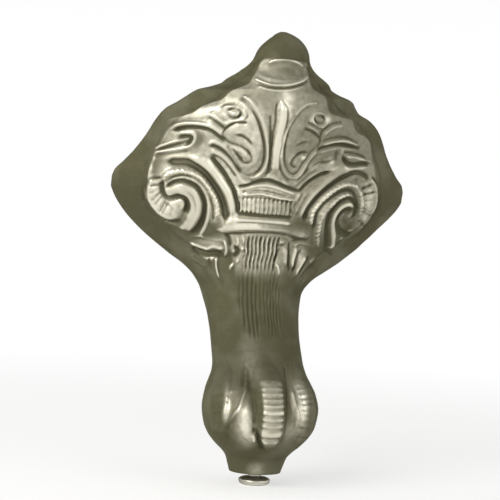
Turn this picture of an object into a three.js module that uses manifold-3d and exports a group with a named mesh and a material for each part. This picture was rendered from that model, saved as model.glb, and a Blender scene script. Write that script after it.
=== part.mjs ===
// Claw and ball foot: one hollow-backed cast foot and the levelling screw it stands on.
// Millimetres, +Z up, front faces -Y, origin under the middle of the levelling screw.
import * as THREE from 'three';
import Module from 'manifold-3d';

// Driving dimensions
const footHeight = 220;        // floor to the tip of the top knob
const footWidth = 150;         // across the wing
const footDepth = 66;          // ball front to the back edge of the leg
const wallThickness = 4.3;     // cast wall
const reliefScale = 1;         // how proud the carving stands
const screwDiameter = 6.4;     // levelling screw shank
const screwClearance = 0.3;    // each side of the shank
const headDiameter = 15.6;
const headHeight = 3.9;
const standGap = 2.5;          // screw head to the collar above it
const screwLength = 34;        // floor to the end of the shank
const bossWidth = 26;          // fixing boss on the inner face
const bossHeight = 20;
const bossCentre = 168;        // height of the boss above the floor
const bossFace = 4;            // depth of the pad that meets the tub
const fixingHole = 8.5;
const fixingDepth = 12;

// The shape is drawn in pattern millimetres (the numbers read off the photo), then scaled.
const patternBase = 6.4, patternTop = 219.3;
const collarBottom = headHeight + standGap;
const scaleX = footWidth / 150, scaleY = footDepth / 66;
const scaleZ = (footHeight - collarBottom) / (patternTop - patternBase);
const toReal = ([x, y, z]) => [x * scaleX, y * scaleY, collarBottom + (z - patternBase) * scaleZ];

// Smooth curve through points [at, value] that never overshoots them.
function profile(points) {
  const n = points.length, at = points.map(p => p[0]), value = points.map(p => p[1]);
  const slope = i => (value[i + 1] - value[i]) / (at[i + 1] - at[i]);
  const tangent = at.map((_, i) => {
    if (i === 0) return slope(0);
    if (i === n - 1) return slope(n - 2);
    const a = slope(i - 1), b = slope(i);
    return a * b > 0 ? 2 * a * b / (a + b) : 0;
  });
  return t => {
    t = Math.min(Math.max(t, at[0]), at[n - 1]);
    let i = 0;
    while (i < n - 2 && t > at[i + 1]) i++;
    const h = at[i + 1] - at[i], s = (t - at[i]) / h;
    return value[i] * (1 + 2 * s) * (1 - s) ** 2 + tangent[i] * h * s * (1 - s) ** 2
      + value[i + 1] * s * s * (3 - 2 * s) + tangent[i + 1] * h * s * s * (s - 1);
  };
}
const smooth = (a, b, t) => {
  const s = Math.min(Math.max((t - a) / (b - a), 0), 1);
  return s * s * (3 - 2 * s);
};
const mix = (a, b, t) => a + (b - a) * t;

// Half width of the outline against height: collar, ball, leg, wing with its lobes, knob.
const halfWidth = profile([[6.4, 12.6], [10, 13.7], [14, 15.1], [17, 17.5], [20, 20.8], [25, 24.9],
  [30, 27.2], [38, 28.4], [46, 27], [50, 25.4], [55, 23.4], [60, 22.6], [70, 22.4], [80, 23.1],
  [90, 25.1], [95, 26.6], [100, 29.5], [103, 32.2], [106, 35.6], [110, 41.5], [115, 48], [120, 54],
  [130, 64.6], [135, 69.4], [140, 73.4], [143, 74.9], [146, 75], [150, 74], [155, 70.3], [160, 66.3],
  [165, 62.9], [170, 59.8], [174, 57.7], [178, 55], [181, 52.1], [184, 47.3], [187, 43.1],
  [190, 38.7], [192, 32.4], [194, 28], [196, 26.3], [198, 23.5], [200, 20], [203, 16.1], [206, 13.9],
  [210, 12.8], [213, 11.4], [216, 8.7], [218.3, 5], [219.6, 1]]);
// The two sides differ a little: what each adds to the half width.
const moreLeft = profile([[6.4, 0], [100, 0], [107, 0.4], [113, 0.8], [119, 1.6], [124, 2.1],
  [128, 2.2], [132, 1.8], [136, 1.2], [140, 0.4], [144, 0], [150, 0], [155, -0.6], [160, -0.8],
  [165, -0.8], [170, -0.6], [176, -0.4], [183, 0], [190, 0], [194, -0.9], [198, -1.7], [201, -0.8],
  [204, -0.8], [209, -1.2], [212, -1.8], [215, -2.5], [217, -2.5], [218.3, -1.5], [219.6, 0]]);
const moreRight = profile([[6.4, 0], [92, 0], [95, 0.5], [98, 1.5], [100, 2.2], [102, 3.1], [104, 4.2],
  [107, 5], [110, 4.7], [113, 4.3], [117, 3.9], [120, 3.2], [124, 2.7], [128, 2], [132, 1.6],
  [136, 1.2], [140, 0.6], [144, 0], [150, 0], [155, -0.7], [160, -0.6], [166, -0.4], [170, 0],
  [176, -0.3], [180, -1.2], [182, -2], [184, -3.2], [185.5, -2.6], [187, -1.8], [189, -0.7],
  [194, -0.5], [200, -0.2], [204, 0.4], [208, 0.8], [213, 0.6], [216, 0.4], [219.6, 0]]);
const halfAt = (z, x) => halfWidth(z) + (x < 0 ? moreLeft(z) : moreRight(z));
// Depth of the widest line, and of the front line down the middle (-Y is forward).
const rimDepth = profile([[6.4, 0], [12, -0.8], [20, -2.5], [30, -4.7], [38, -4.7], [45, -3], [50, 0],
  [55, 3], [60, 6.5], [70, 14], [80, 21], [90, 28], [95, 30.5], [100, 32], [110, 32], [120, 31],
  [130, 28], [140, 24], [150, 20], [160, 15], [170, 10], [180, 5], [190, -1.5], [200, -8],
  [210, -11], [219.6, -12]]);
const frontDepth = profile([[6.4, -12.6], [10, -14], [14, -16], [17, -19.5], [20, -22.9], [25, -27.8],
  [30, -31], [38, -33], [46, -29.5], [50, -25.3], [55, -17.5], [60, -10.5], [67, -3.6], [75, 2.4],
  [82, 7.4], [90, 11.2], [98, 13], [106, 13.2], [115, 11.3], [126, 8], [135, 4.8], [143, 2],
  [150, -0.5], [160, -7], [170, -13.2], [178, -18], [186, -20.6], [194, -20.4], [200, -19.3],
  [206, -18.6], [212, -17.4], [216, -16.2], [219.6, -13.5]]);
// Half width of the carved panel, and how far the ball swells behind the widest line.
const panelHalf = profile([[96, 20], [106, 26], [113, 30], [118, 38], [122, 43], [128, 50], [133, 55],
  [138, 58.5], [143, 59.5], [151, 59], [156, 57.5], [165, 53.3], [170, 51], [174, 47.5], [177, 44.5],
  [180, 40], [182, 35.5], [184, 31.5], [187, 28], [190, 25.5], [193, 21.5], [196, 17.8], [200, 14],
  [203.5, 11.5], [206.5, 8.5], [212, 6], [219.6, 0.5]]);
const backSwell = profile([[6.4, 12.6], [14, 15], [20, 20.8], [30, 27.2], [38, 28.4], [46, 25.5],
  [52, 17], [58, 6], [62, 0]]);
const panelStep = 1.6, rimEdge = 1.5;

// Front of the foot: depth at (x, z) without carving.
function frontAt(x, z) {
  const half = halfAt(z, x), rim = rimDepth(z), front = frontDepth(z), a = Math.abs(x);
  const leg = rim - (rim - front) * Math.sqrt(Math.max(1 - (a / half) ** 2, 0));
  const panel = Math.min(panelHalf(z), half * 0.93), edge = rim - rimEdge;
  const panelEdge = edge - 0.62 * (half - panel);
  const wing = a <= panel ? mix(front, panelEdge, (a / panel) ** 2.3)
    : mix(panelEdge + panelStep, edge, Math.max((a - panel) / (half - panel), 0));
  return mix(leg, wing, smooth(100, 119, z) * (1 - smooth(202, 210, z)));
}
const backAt = (x, z) => rimDepth(z) + 0.3 + 2.2 * smooth(50, 70, z)
  + backSwell(z) * Math.sqrt(Math.max(1 - (x / halfAt(z, x)) ** 2, 0));

const wasm = await Module();
wasm.setup();
const { Manifold, Mesh } = wasm;

// Closed skin over equal rings of points, with a fan on each end ring.
function skin(rings, real = toReal) {
  const count = rings[0].length, points = rings.flat();
  for (const ring of [rings[0], rings.at(-1)]) {
    points.push([0, 1, 2].map(k => ring.reduce((sum, p) => sum + p[k], 0) / count));
  }
  const faces = [], last = (rings.length - 1) * count, low = rings.length * count;
  for (let j = 0; j < count; j++) {
    const k = (j + 1) % count;
    for (let i = 0; i < rings.length - 1; i++) {
      const a = i * count + j, b = i * count + k;
      faces.push(a, b, b + count, a, b + count, a + count);
    }
    faces.push(low, k, j, low + 1, last + j, last + k);
  }
  const placed = points.map(real);
  let volume = 0;
  for (let f = 0; f < faces.length; f += 3) {
    const [a, b, c] = [0, 1, 2].map(k => new THREE.Vector3(...placed[faces[f + k]]));
    volume += a.dot(b.cross(c));
  }
  if (volume < 0) faces.reverse();
  return new Manifold(new Mesh({
    numProp: 3, vertProperties: new Float32Array(placed.flat()), triVerts: new Uint32Array(faces),
  }));
}

// Heights spaced evenly along the outline, so the shoulders get as many rows as the leg;
// the lobed crest takes finer ones.
function outlineRows(from, to, spacing, crest = 1) {
  const rows = [from];
  let travelled = 0;
  for (let z = from + 0.1; z < to; z += 0.1) {
    travelled += Math.hypot(0.1, halfWidth(z) - halfWidth(z - 0.1));
    if (travelled >= spacing * (z > 179 ? crest : 1)) { rows.push(z); travelled = 0; }
  }
  rows.push(to);
  return rows;
}

// One side of a row as shares of the half width; the panel edge falls on a column.
const panelColumns = 6;
function sideOf(z, sign) {
  const half = halfAt(z, sign), panel = Math.min(panelHalf(z), half * 0.93);
  const wing = smooth(100, 119, z) * (1 - smooth(202, 210, z));
  const spots = [];
  for (let i = 0; i <= panelColumns; i++) spots.push([0.8 * i / panelColumns, panel * i / panelColumns]);
  spots.push([0.88, Math.min(panel + 0.6, half * 0.95)], [1, half]);
  return spots.map(([share, x]) => sign * mix(half * Math.sin(share * Math.PI / 2), x, wing));
}
function rowOf(z) {
  const front = [...sideOf(z, -1).slice(1).reverse(), ...sideOf(z, 1)].map(x => [x, frontAt(x, z), z]);
  const back = [1, 0.8, 0.35, -0.35, -0.8, -1].map(s => s * halfAt(z, s)).map(x => [x, backAt(x, z), z]);
  return [...front, ...back];
}
const outer = skin(outlineRows(patternBase, patternTop, 6.8, 0.5).map(rowOf));

// Inner hollow: the front surface moved in by the wall, open to the back above the ball.
const wall = wallThickness / scaleX;
const steps = [-1, -0.7, -0.35, 0, 0.35, 0.7, 1];
const innerHalf = (z, x) => Math.min(...steps.map(s => halfAt(z + s * wall, x) - wall * Math.sqrt(1 - s * s)));
function innerFront(x, z) {
  let deepest = -Infinity;
  for (const a of steps) for (const b of steps) {
    const rest = 1 - a * a - b * b;
    if (rest < -0.001 || Math.abs(x + a * wall) > halfAt(z + b * wall, x + a * wall)) continue;
    deepest = Math.max(deepest, frontAt(x + a * wall, z + b * wall) + wall * Math.sqrt(Math.max(rest, 0)));
  }
  return deepest;
}
const coreRadius = 9.5, coreFloor = 27, coreCentre = 0;
function hollowRow(z) {
  const open = smooth(48, 63, z), leave = smooth(56, 65, z);
  const halfOf = x => mix(Math.min(coreRadius, innerHalf(z, x)), innerHalf(z, x), open);
  const round = z < coreFloor + coreRadius
    ? Math.sqrt(Math.max(1 - ((coreFloor + coreRadius - z) / coreRadius) ** 2, 0.01)) : 1;
  const ring = [];
  for (let i = 0; i <= 10; i++) {
    const share = -Math.cos(i * Math.PI / 10), x = share * halfOf(share);
    const core = coreCentre - coreRadius * Math.sin(i * Math.PI / 10);
    ring.push([x, mix(Math.max(core, innerFront(x, z)), innerFront(x, z), open), z]);
  }
  for (let i = 1; i <= 5; i++) {
    const share = Math.cos(i * Math.PI / 6), x = share * halfOf(share);
    const core = Math.min(coreCentre + coreRadius * Math.sin(i * Math.PI / 6), backAt(x, z) - wall);
    ring.push([x, mix(core, rimDepth(z) + 12, leave), z]);
  }
  return ring.map(([x, y]) => [x * round, coreCentre + (y - coreCentre) * round, z]);
}
const hollow = skin([coreFloor + 0.1, 28, 30, 33, 37, ...outlineRows(42, 207, 8.5)].map(hollowRow));

// A raised rib laid on the front along points [x, z]; width and height follow their shapes.
const surface = (x, z) => new THREE.Vector3(x, frontAt(x, z), z);
function surfaceNormal(x, z) {
  const dx = surface(x + 0.5, z).sub(surface(x - 0.5, z)), dz = surface(x, z + 0.5).sub(surface(x, z - 0.5));
  return dx.cross(dz).normalize();
}
const leafShape = s => Math.sin(Math.PI * (0.04 + 0.92 * s)) ** 0.8;
const cordShape = s => Math.min(1, 8 * s + 0.25, 8 * (1 - s) + 0.25);
const fadeShape = s => Math.min(1, 6 * s + 0.2) * (1 - 0.75 * s);
const ridge = [[-0.58, null], [0, 1], [0.58, null]];      // null is a foot sunk below the surface
const round = [[-0.52, null], [-0.28, 0.9], [0.28, 0.9], [0.52, null]];
const sunk = 1.1;
function rib(points, width, height, { shape = leafShape, form = ridge, segments = 8 } = {}) {
  const path = new THREE.CatmullRomCurve3(points.map(([x, z]) => new THREE.Vector3(x, 0, z)));
  const rings = [];
  for (let i = 0; i <= segments; i++) {
    const s = i / segments, at = path.getPointAt(s), ahead = path.getTangentAt(s);
    const out = surfaceNormal(at.x, at.z), across = new THREE.Vector3(ahead.z, 0, -ahead.x);
    across.addScaledVector(out, -across.dot(out)).normalize();
    const size = shape(s), rise = size * height * reliefScale;
    rings.push(form.map(([a, h]) => {
      const x = at.x + across.x * a * width * size, z = at.z + across.z * a * width * size;
      const p = surface(x, z).addScaledVector(out, h === null ? -sunk : h * rise);
      return [p.x, p.y, p.z];
    }));
  }
  return skin(rings);
}
const mirrored = (points, ...rest) => [rib(points, ...rest), rib(points.map(([x, z]) => [-x, z]), ...rest)];
const oval = (x, z, a, b, turns = 1) => Array.from({ length: 13 }, (_, i) => {
  const angle = turns * i * Math.PI / 6;
  return [x + a * Math.cos(angle), z + b * Math.sin(angle)];
});
const carving = [];

// Dished button at the top, its two lips and the palmette's middle leaf.
const level = () => 1;
carving.push(
  rib(oval(0, 200.3, 10.5, 3.7, 0.995), 2.6, 1.7, { shape: level, segments: 16 }),
  rib([[-12.5, 196.5], [-7, 194.4], [0, 193.6], [7, 194.4], [12.5, 196.5]], 2.6, 1.5, { shape: cordShape }),
  rib([[-14.5, 193.6], [-8, 191.3], [0, 190.5], [8, 191.3], [14.5, 193.6]], 1.8, 0.9),
  rib([[0, 149], [0, 160], [0, 175], [0, 181], [0, 187]], 5.4, 2.2,
    { shape: s => Math.min(0.3 + 0.85 * s, 1, 6 * (1 - s) + 0.1), form: round, segments: 9 }));

// Leaves of the palmette on one side: points, width, height.
const leaves = [
  [[[19.5, 186], [12.5, 182], [7.4, 175], [4.6, 167], [3.8, 158.5], [5, 153], [8.8, 150], [13, 151],
    [19.5, 161.5], [24.5, 168.3]], 3.4, 1.9, { shape: cordShape, segments: 12 }],
  [[[18.5, 170], [15, 168.8], [10, 165.2]], 3.2, 1.3, { segments: 4 }],
  [[[49.5, 170.3], [41, 173.8], [36.7, 174], [29, 170.7], [24.5, 168.5]], 4.6, 2.2, { segments: 8 }],
  [[[56, 160.2], [48, 163.4], [42, 166.6], [39.5, 167]], 5, 2.1, { segments: 6 }],
  [[[32, 178], [28, 174.5], [24.5, 171.5]], 3, 1.5, { segments: 4 }],
  [[[36.5, 181], [31, 180.5], [28, 178.2]], 2.2, 1.2, { segments: 4 }],
  [[[24.5, 168.3], [21.5, 165], [14.9, 162.3], [10.4, 158.5], [12, 155.7]], 3.4, 1.7, { segments: 7 }],
  [[[31.6, 164], [25.5, 162.2], [19.5, 156.6], [12.5, 150.2], [7.2, 149]], 3.6, 1.9, { segments: 8 }],
  [[[31.5, 159], [23.5, 154.8], [16.2, 147.6]], 3.4, 1.8, { segments: 6 }],
];
for (const leaf of leaves) carving.push(...mirrored(...leaf));

// Eye rosettes: a ring and a bead.
for (const x of [21.3, -21.3]) {
  carving.push(rib(oval(x, 178, 4, 2.6, 0.99), 1.5, 1.1, { shape: level, segments: 12 }),
    rib([[x - 1.4, 178], [x, 178.2], [x + 1.4, 178]], 2.4, 1.2, { segments: 3 }));
}

// Volutes: a rope that rolls in to its eye, an inner ribbon, and the fluted shell outside.
const voluteRope = [[23.2, 130.5], [26, 139], [31, 147], [37.5, 153], [45, 155.3], [52, 152.6],
  [56.2, 145.6], [56, 137], [51.6, 130.6], [45.6, 129.6], [41.6, 133.6], [42.4, 139], [46.6, 140.6], [49.2, 137.6]];
const innerRibbon = [[34, 120.5], [30.6, 127], [31, 136], [35, 143.5], [41.5, 147.3], [48.2, 146], [51.6, 141]];
const flare = [[17.6, 131], [19.4, 140], [25, 149.4], [32.5, 156.4]];
carving.push(
  ...mirrored(voluteRope, 4.4, 3, { shape: s => Math.min(1, 8 * s + 0.2) * (1 - 0.55 * s), form: round, segments: 18 }),
  ...mirrored(innerRibbon, 4.2, 2, { shape: cordShape, segments: 8 }),
  ...mirrored(flare, 5.6, 1.9, { shape: s => Math.min(0.6 + s, 1, 2.2 * (1 - s) + 0.1), form: round, segments: 8 }));
for (let i = 0; i < 6; i++) {
  const angle = THREE.MathUtils.degToRad(-62 + 24 * i), c = Math.cos(angle), s = Math.sin(angle);
  carving.push(...mirrored([[47.4 + 4.6 * c, 140 + 6.5 * s], [47.4 + 8.6 * c, 140 + 11.6 * s]], 2.4, 1.5, { segments: 3 }));
}

// Waist: upper band, row of reeds, torus in two rolls.
carving.push(
  rib([[-15.5, 145], [-8, 147.3], [0, 148.8], [8, 147.3], [15.5, 145]], 2.2, 1.5, { shape: cordShape }),
  rib([[-15, 141.6], [-7, 143.2], [0, 143.6], [7, 143.2], [15, 141.6]], 3.4, 1.7, { shape: cordShape, form: round }),
  rib([[-25, 126.6], [-14, 128.2], [0, 128.8], [14, 128.2], [25, 126.6]], 3.6, 2.6, { shape: cordShape, form: round }),
  rib([[-25.5, 122.6], [-14, 124.2], [0, 124.8], [14, 124.2], [25.5, 122.6]], 4.4, 3.4, { shape: cordShape, form: round }));
const reedCount = 13;
for (let i = 0; i < reedCount; i++) {
  const x = mix(-13.4, 13.4, i / (reedCount - 1));
  carving.push(rib([[x * 0.97, 131.6], [x * 1.02, 139.4]], 1.7, 1.3, { shape: level, segments: 1 }));
}

// Acanthus fringe under the torus, then the fine reeds that run down the leg.
const fringe = [
  [[[17.6, 118], [26, 119.6], [36.5, 118.4]], 4.6, 2, { segments: 5 }],
  [[[34.5, 113.6], [31.5, 110], [25, 104]], 3, 1.5, { segments: 4 }],
  [[[22.4, 117], [21.4, 109], [18.6, 99.8]], 3.4, 1.6, { segments: 5 }],
  [[[28.4, 115.6], [26.4, 110.4], [23.6, 103.4]], 3, 1.5, { segments: 4 }],
  [[[14, 120], [15, 113], [16.4, 106]], 4, 1.9, { segments: 4 }],
];
for (const leaf of fringe) carving.push(...mirrored(...leaf));
for (let i = -2; i <= 2; i++) {
  carving.push(
    rib([[i * 4.6, 120.5], [i * 4.3, 112], [i * 4, 103.5]], 3.4, 1.7, { segments: 3 }),
    rib([[i * 4, 104.5], [i * 3.5, 90], [i * 2.9, 73]], 1.7, 1, { shape: fadeShape, segments: 2 }));
}

// Toes: three ringed fingers over the ball, each ending in a pointed nail.
const toeForm = [[-0.5, null], [-0.34, 0.8], [0, 1], [0.34, 0.8], [0.5, null]];
const ringCount = 9, toeTop = 52.4, ringPitch = 2.85;
function toe(azimuth) {
  const angle = THREE.MathUtils.degToRad(azimuth), stations = [[64, 3, 0.1], [60, 7, 1], [56.5, 10.5, 1.8]];
  for (let i = 0; i <= ringCount; i++) {
    const z = toeTop - i * ringPitch, width = 14.4 - 0.055 * (i - 2.5) ** 2 * (i > 2.5 ? 2 : 1);
    stations.push([z, width - 0.8, 1.9], [z - ringPitch * 0.5, width, 2.7]);
  }
  const nail = toeTop - (ringCount + 0.5) * ringPitch;
  stations.push([nail - 1.6, 8.6, 2.3], [nail - 4.6, 6, 2.4], [nail - 7.6, 3, 1.6], [nail - 9.6, 0.8, 0.4]);
  const rings = stations.map(([z, width, height]) => {
    const x = halfWidth(z) * Math.sin(angle), out = surfaceNormal(x, z);
    const across = new THREE.Vector3(-out.y, out.x, 0).normalize();
    return toeForm.map(([a, h]) => {
      const turned = angle + Math.atan(a * width / halfWidth(z));
      const q = surface(halfWidth(z) * Math.sin(turned), z);
      const p = q.addScaledVector(out, h === null ? -sunk : h * height * reliefScale);
      return [p.x, p.y, p.z];
    });
  });
  return skin(rings);
}
carving.push(toe(0), toe(42), toe(-58));

// Ready tools in real millimetres: drilled holes and the fixing boss.
function turned(profilePoints, count, centre = [0, 0, 0], axis = 'z') {
  const rings = profilePoints.map(([radius, along]) => Array.from({ length: count }, (_, i) => {
    const angle = 2 * Math.PI * i / count, a = radius * Math.cos(angle), b = radius * Math.sin(angle);
    return axis === 'z' ? [centre[0] + a, centre[1] + b, centre[2] + along]
      : [centre[0] + a, centre[1] + along, centre[2] - b];
  }));
  return skin(rings, p => p);
}
function bossBlock() {
  const corner = 4;
  const outline = [];
  for (const [sx, sz, turn] of [[1, 1, 0], [-1, 1, 1], [-1, -1, 2], [1, -1, 3]]) {
    for (let i = 0; i <= 4; i++) {
      const angle = (turn + i / 4) * Math.PI / 2;
      outline.push([sx * (bossWidth / 2 - corner) + corner * Math.cos(angle),
        sz * (bossHeight / 2 - corner) + corner * Math.sin(angle)]);
    }
  }
  const inWall = (x, z) => {
    const drawn = patternBase + (bossCentre + z - collarBottom) / scaleZ;
    return toReal([0, frontAt(x / scaleX, drawn) + wall / 2, 0])[1];
  };
  return skin([outline.map(([x, z]) => [x, inWall(x, z), bossCentre + z]),
    outline.map(([x, z]) => [x, bossFace, bossCentre + z])], p => p);
}
const screwHole = turned([[screwDiameter / 2 + screwClearance, -5], [screwDiameter / 2 + screwClearance, 40]], 32);
const boltHole = turned([[fixingHole / 2, -fixingDepth], [fixingHole / 2, 2]], 24, [0, bossFace, bossCentre], 'y');
const shell = Manifold.union([outer, ...carving]);
const casting = shell.subtract(hollow).add(bossBlock()).subtract(screwHole).subtract(boltHole);

// Levelling screw: domed head on the floor and a plain shank (the thread is left to the look).
const r = headDiameter / 2, shank = screwDiameter / 2;
const levelling = turned([[r * 0.66, 0], [r * 0.9, headHeight * 0.16], [r, headHeight * 0.42],
  [r * 0.95, headHeight * 0.7], [r * 0.76, headHeight * 0.92], [shank + 0.5, headHeight],
  [shank, headHeight + 0.4], [shank, screwLength - 0.8], [shank - 0.8, screwLength]], 32);

// Finished meshes
function meshOf(manifold, name, material) {
  const mesh = manifold.getMesh(), geometry = new THREE.BufferGeometry();
  const count = mesh.vertProperties.length / mesh.numProp, points = new Float32Array(count * 3);
  for (let i = 0; i < count; i++) for (let k = 0; k < 3; k++) points[i * 3 + k] = mesh.vertProperties[i * mesh.numProp + k];
  geometry.setAttribute('position', new THREE.BufferAttribute(points, 3));
  geometry.setIndex(new THREE.BufferAttribute(new Uint32Array(mesh.triVerts), 1));
  geometry.computeVertexNormals();
  const result = new THREE.Mesh(geometry, material);
  result.name = name;
  return result;
}
const nickel = new THREE.MeshStandardMaterial({ name: 'brushed_nickel', color: 0x8f8b76, metalness: 0.9, roughness: 0.42 });
const screwSteel = new THREE.MeshStandardMaterial({ name: 'screw_steel', color: 0x9a9a92, metalness: 0.95, roughness: 0.3 });
const group = new THREE.Group();
group.name = 'claw_and_ball_foot';
group.add(meshOf(casting, 'foot_casting', nickel), meshOf(levelling, 'levelling_screw', screwSteel));
export default group;
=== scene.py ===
import math
import bpy
import numpy as np
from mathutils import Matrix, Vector


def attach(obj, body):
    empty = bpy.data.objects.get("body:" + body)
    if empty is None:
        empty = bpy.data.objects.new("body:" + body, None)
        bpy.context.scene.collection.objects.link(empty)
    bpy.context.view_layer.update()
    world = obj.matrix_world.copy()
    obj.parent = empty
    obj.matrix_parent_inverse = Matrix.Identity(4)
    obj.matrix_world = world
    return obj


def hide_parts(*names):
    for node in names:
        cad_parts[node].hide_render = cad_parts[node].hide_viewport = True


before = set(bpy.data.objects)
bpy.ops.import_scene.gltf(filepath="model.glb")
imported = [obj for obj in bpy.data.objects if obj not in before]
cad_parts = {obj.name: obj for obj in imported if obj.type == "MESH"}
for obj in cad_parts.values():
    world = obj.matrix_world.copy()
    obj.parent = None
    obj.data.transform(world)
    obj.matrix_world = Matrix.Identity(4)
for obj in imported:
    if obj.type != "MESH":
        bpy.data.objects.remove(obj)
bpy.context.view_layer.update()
scene = bpy.context.scene
scene.view_settings.view_transform = "Standard"
print("stage: frame loaded")

# Base form, in the same pattern millimetres as the CAD: tables of value against height.
castingForm = {
    "top": 220,
    "collarBottom": 6.4,
    "patternBase": 6.4,
    "patternTop": 219.3,
    "wall": 4.3,
    "panelStep": 1.6,
    "panelLimit": 0.93,      # the panel's greatest share of the half width
    "crownPower": 2.3,       # how flat the panel's crown is
    "rimSlope": 0.62,        # how fast the rim falls back beyond the panel
    "rimEdge": 1.5,
    "rimRoll": 0.9,
    "backLip": 0.3,
    "backRound": 2.2,
    "halfWidth": [
        (6.4, 12.6), (10, 13.7), (14, 15.1), (17, 17.5), (20, 20.8), (25, 24.9), (30, 27.2), (38, 28.4),
        (46, 27), (50, 25.4), (55, 23.4), (60, 22.6), (70, 22.4), (80, 23.1), (90, 25.1), (95, 26.6),
        (100, 29.5), (103, 32.2), (106, 35.6), (110, 41.5), (115, 48), (120, 54), (130, 64.6), (135, 69.4),
        (140, 73.4), (143, 74.9), (146, 75), (150, 74), (155, 70.3), (160, 66.3), (165, 62.9), (170, 59.8),
        (174, 57.7), (178, 55), (181, 52.1), (184, 47.3), (187, 43.1), (190, 38.7), (192, 32.4), (194, 28),
        (196, 26.3), (198, 23.5), (200, 20), (203, 16.1), (206, 13.9), (210, 12.8), (213, 11.4), (216, 8.7),
        (218.3, 5), (219.6, 1)],
    # the two sides differ a little: what each adds to the half width
    "moreLeft": [
        (6.4, 0), (100, 0), (107, 0.4), (113, 0.8), (119, 1.6), (124, 2.1), (128, 2.2), (132, 1.8),
        (136, 1.2), (140, 0.4), (144, 0), (150, 0), (155, -0.6), (160, -0.8), (165, -0.8), (170, -0.6),
        (176, -0.4), (183, 0), (190, 0), (194, -0.9), (198, -1.7), (201, -0.8), (204, -0.8), (209, -1.2),
        (212, -1.8), (215, -2.5), (217, -2.5), (218.3, -1.5), (219.6, 0)],
    "moreRight": [
        (6.4, 0), (92, 0), (95, 0.5), (98, 1.5), (100, 2.2), (102, 3.1), (104, 4.2), (107, 5), (110, 4.7),
        (113, 4.3), (117, 3.9), (120, 3.2), (124, 2.7), (128, 2), (132, 1.6), (136, 1.2),
        (140, 0.6), (144, 0), (150, 0), (155, -0.7), (160, -0.6), (166, -0.4), (170, 0), (176, -0.3),
        (180, -1.2), (182, -2), (184, -3.2), (185.5, -2.6), (187, -1.8), (189, -0.7), (194, -0.5),
        (200, -0.2), (204, 0.4), (208, 0.8), (213, 0.6), (216, 0.4), (219.6, 0)],
    "rimDepth": [
        (6.4, 0), (12, -0.8), (20, -2.5), (30, -4.7), (38, -4.7), (45, -3), (50, 0), (55, 3), (60, 6.5),
        (70, 14), (80, 21), (90, 28), (95, 30.5), (100, 32), (110, 32), (120, 31), (130, 28), (140, 24),
        (150, 20), (160, 15), (170, 10), (180, 5), (190, -1.5), (200, -8), (210, -11), (219.6, -12)],
    "frontDepth": [
        (6.4, -12.6), (10, -14), (14, -16), (17, -19.5), (20, -22.9), (25, -27.8), (30, -31), (38, -33),
        (46, -29.5), (50, -25.3), (55, -17.5), (60, -10.5), (67, -3.6), (75, 2.4), (82, 7.4), (90, 11.2),
        (98, 13), (106, 13.2), (115, 11.3), (126, 8), (135, 4.8), (143, 2), (150, -0.5), (160, -7),
        (170, -13.2), (178, -18), (186, -20.6), (194, -20.4), (200, -19.3), (206, -18.6), (212, -17.4),
        (216, -16.2), (219.6, -13.5)],
    "panelHalf": [
        (96, 20), (106, 26), (113, 30), (118, 38), (122, 43), (128, 50), (133, 55), (138, 58.5),
        (143, 59.5),
        (151, 59), (156, 57.5), (165, 53.3), (170, 51), (174, 47.5), (177, 44.5), (180, 40), (182, 35.5),
        (184, 31.5), (187, 28), (190, 25.5), (193, 21.5), (196, 17.8), (200, 14), (203.5, 11.5),
        (206.5, 8.5),
        (212, 6), (219.6, 0.5)],
    "backSwell": [
        (6.4, 12.6), (14, 15), (20, 20.8), (30, 27.2), (38, 28.4), (46, 25.5), (52, 17), (58, 6), (62, 0)],
    # grid: columns on each side of the front, the share of them on the panel and on the rim,
    # columns across the back, (from, to, spacing) of the rows
    "sideColumns": 124,
    "panelColumns": 0.84,
    "rimColumns": 0.16,
    "backColumns": 24,
    "rowSpacing": [(6.4, 14, 0.95), (14, 62, 0.62), (62, 105, 1.3), (105, 186, 0.56), (186, 212, 0.45),
                   (212, 219.3, 0.5)],
}
scaleZ = ((castingForm["top"] - castingForm["collarBottom"])
          / (castingForm["patternTop"] - castingForm["patternBase"]))


def profile(points):
    # smooth curve through a table's points that never swings past them
    at, value = np.array(points, float).T
    slope = np.diff(value) / np.diff(at)
    tangent = np.concatenate([slope[:1], np.zeros(len(at) - 2), slope[-1:]])
    before, after = slope[:-1], slope[1:]
    same = before * after > 0
    tangent[1:-1][same] = 2 * before[same] * after[same] / (before[same] + after[same])

    def curve(place):
        place = np.clip(place, at[0], at[-1])
        left = np.clip(np.searchsorted(at, place, side="right") - 1, 0, len(at) - 2)
        span = at[left + 1] - at[left]
        share = (place - at[left]) / span
        return (value[left] * (1 + 2 * share) * (1 - share) ** 2
                + tangent[left] * span * share * (1 - share) ** 2
                + value[left + 1] * share * share * (3 - 2 * share)
                + tangent[left + 1] * span * share * share * (share - 1))

    return curve


def smooth(start, end, value):
    share = np.clip((value - start) / (end - start), 0, 1)
    return share * share * (3 - 2 * share)


def mix(first, second, share):
    return first + (second - first) * share


meanHalf, moreLeft, moreRight, rimDepth, frontDepth, panelHalf, backSwell = (
    profile(castingForm[key]) for key in
    ("halfWidth", "moreLeft", "moreRight", "rimDepth", "frontDepth", "panelHalf", "backSwell"))


def halfWidth(z, x=0):
    return meanHalf(z) + np.where(np.asarray(x) < 0, moreLeft(z), moreRight(z))


def panelWidth(z, half):
    return np.minimum(panelHalf(z), half * castingForm["panelLimit"])


def wingShare(z):
    # 0 on the leg and the knob, 1 on the wing
    return smooth(100, 119, z) * (1 - smooth(202, 210, z))


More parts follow.
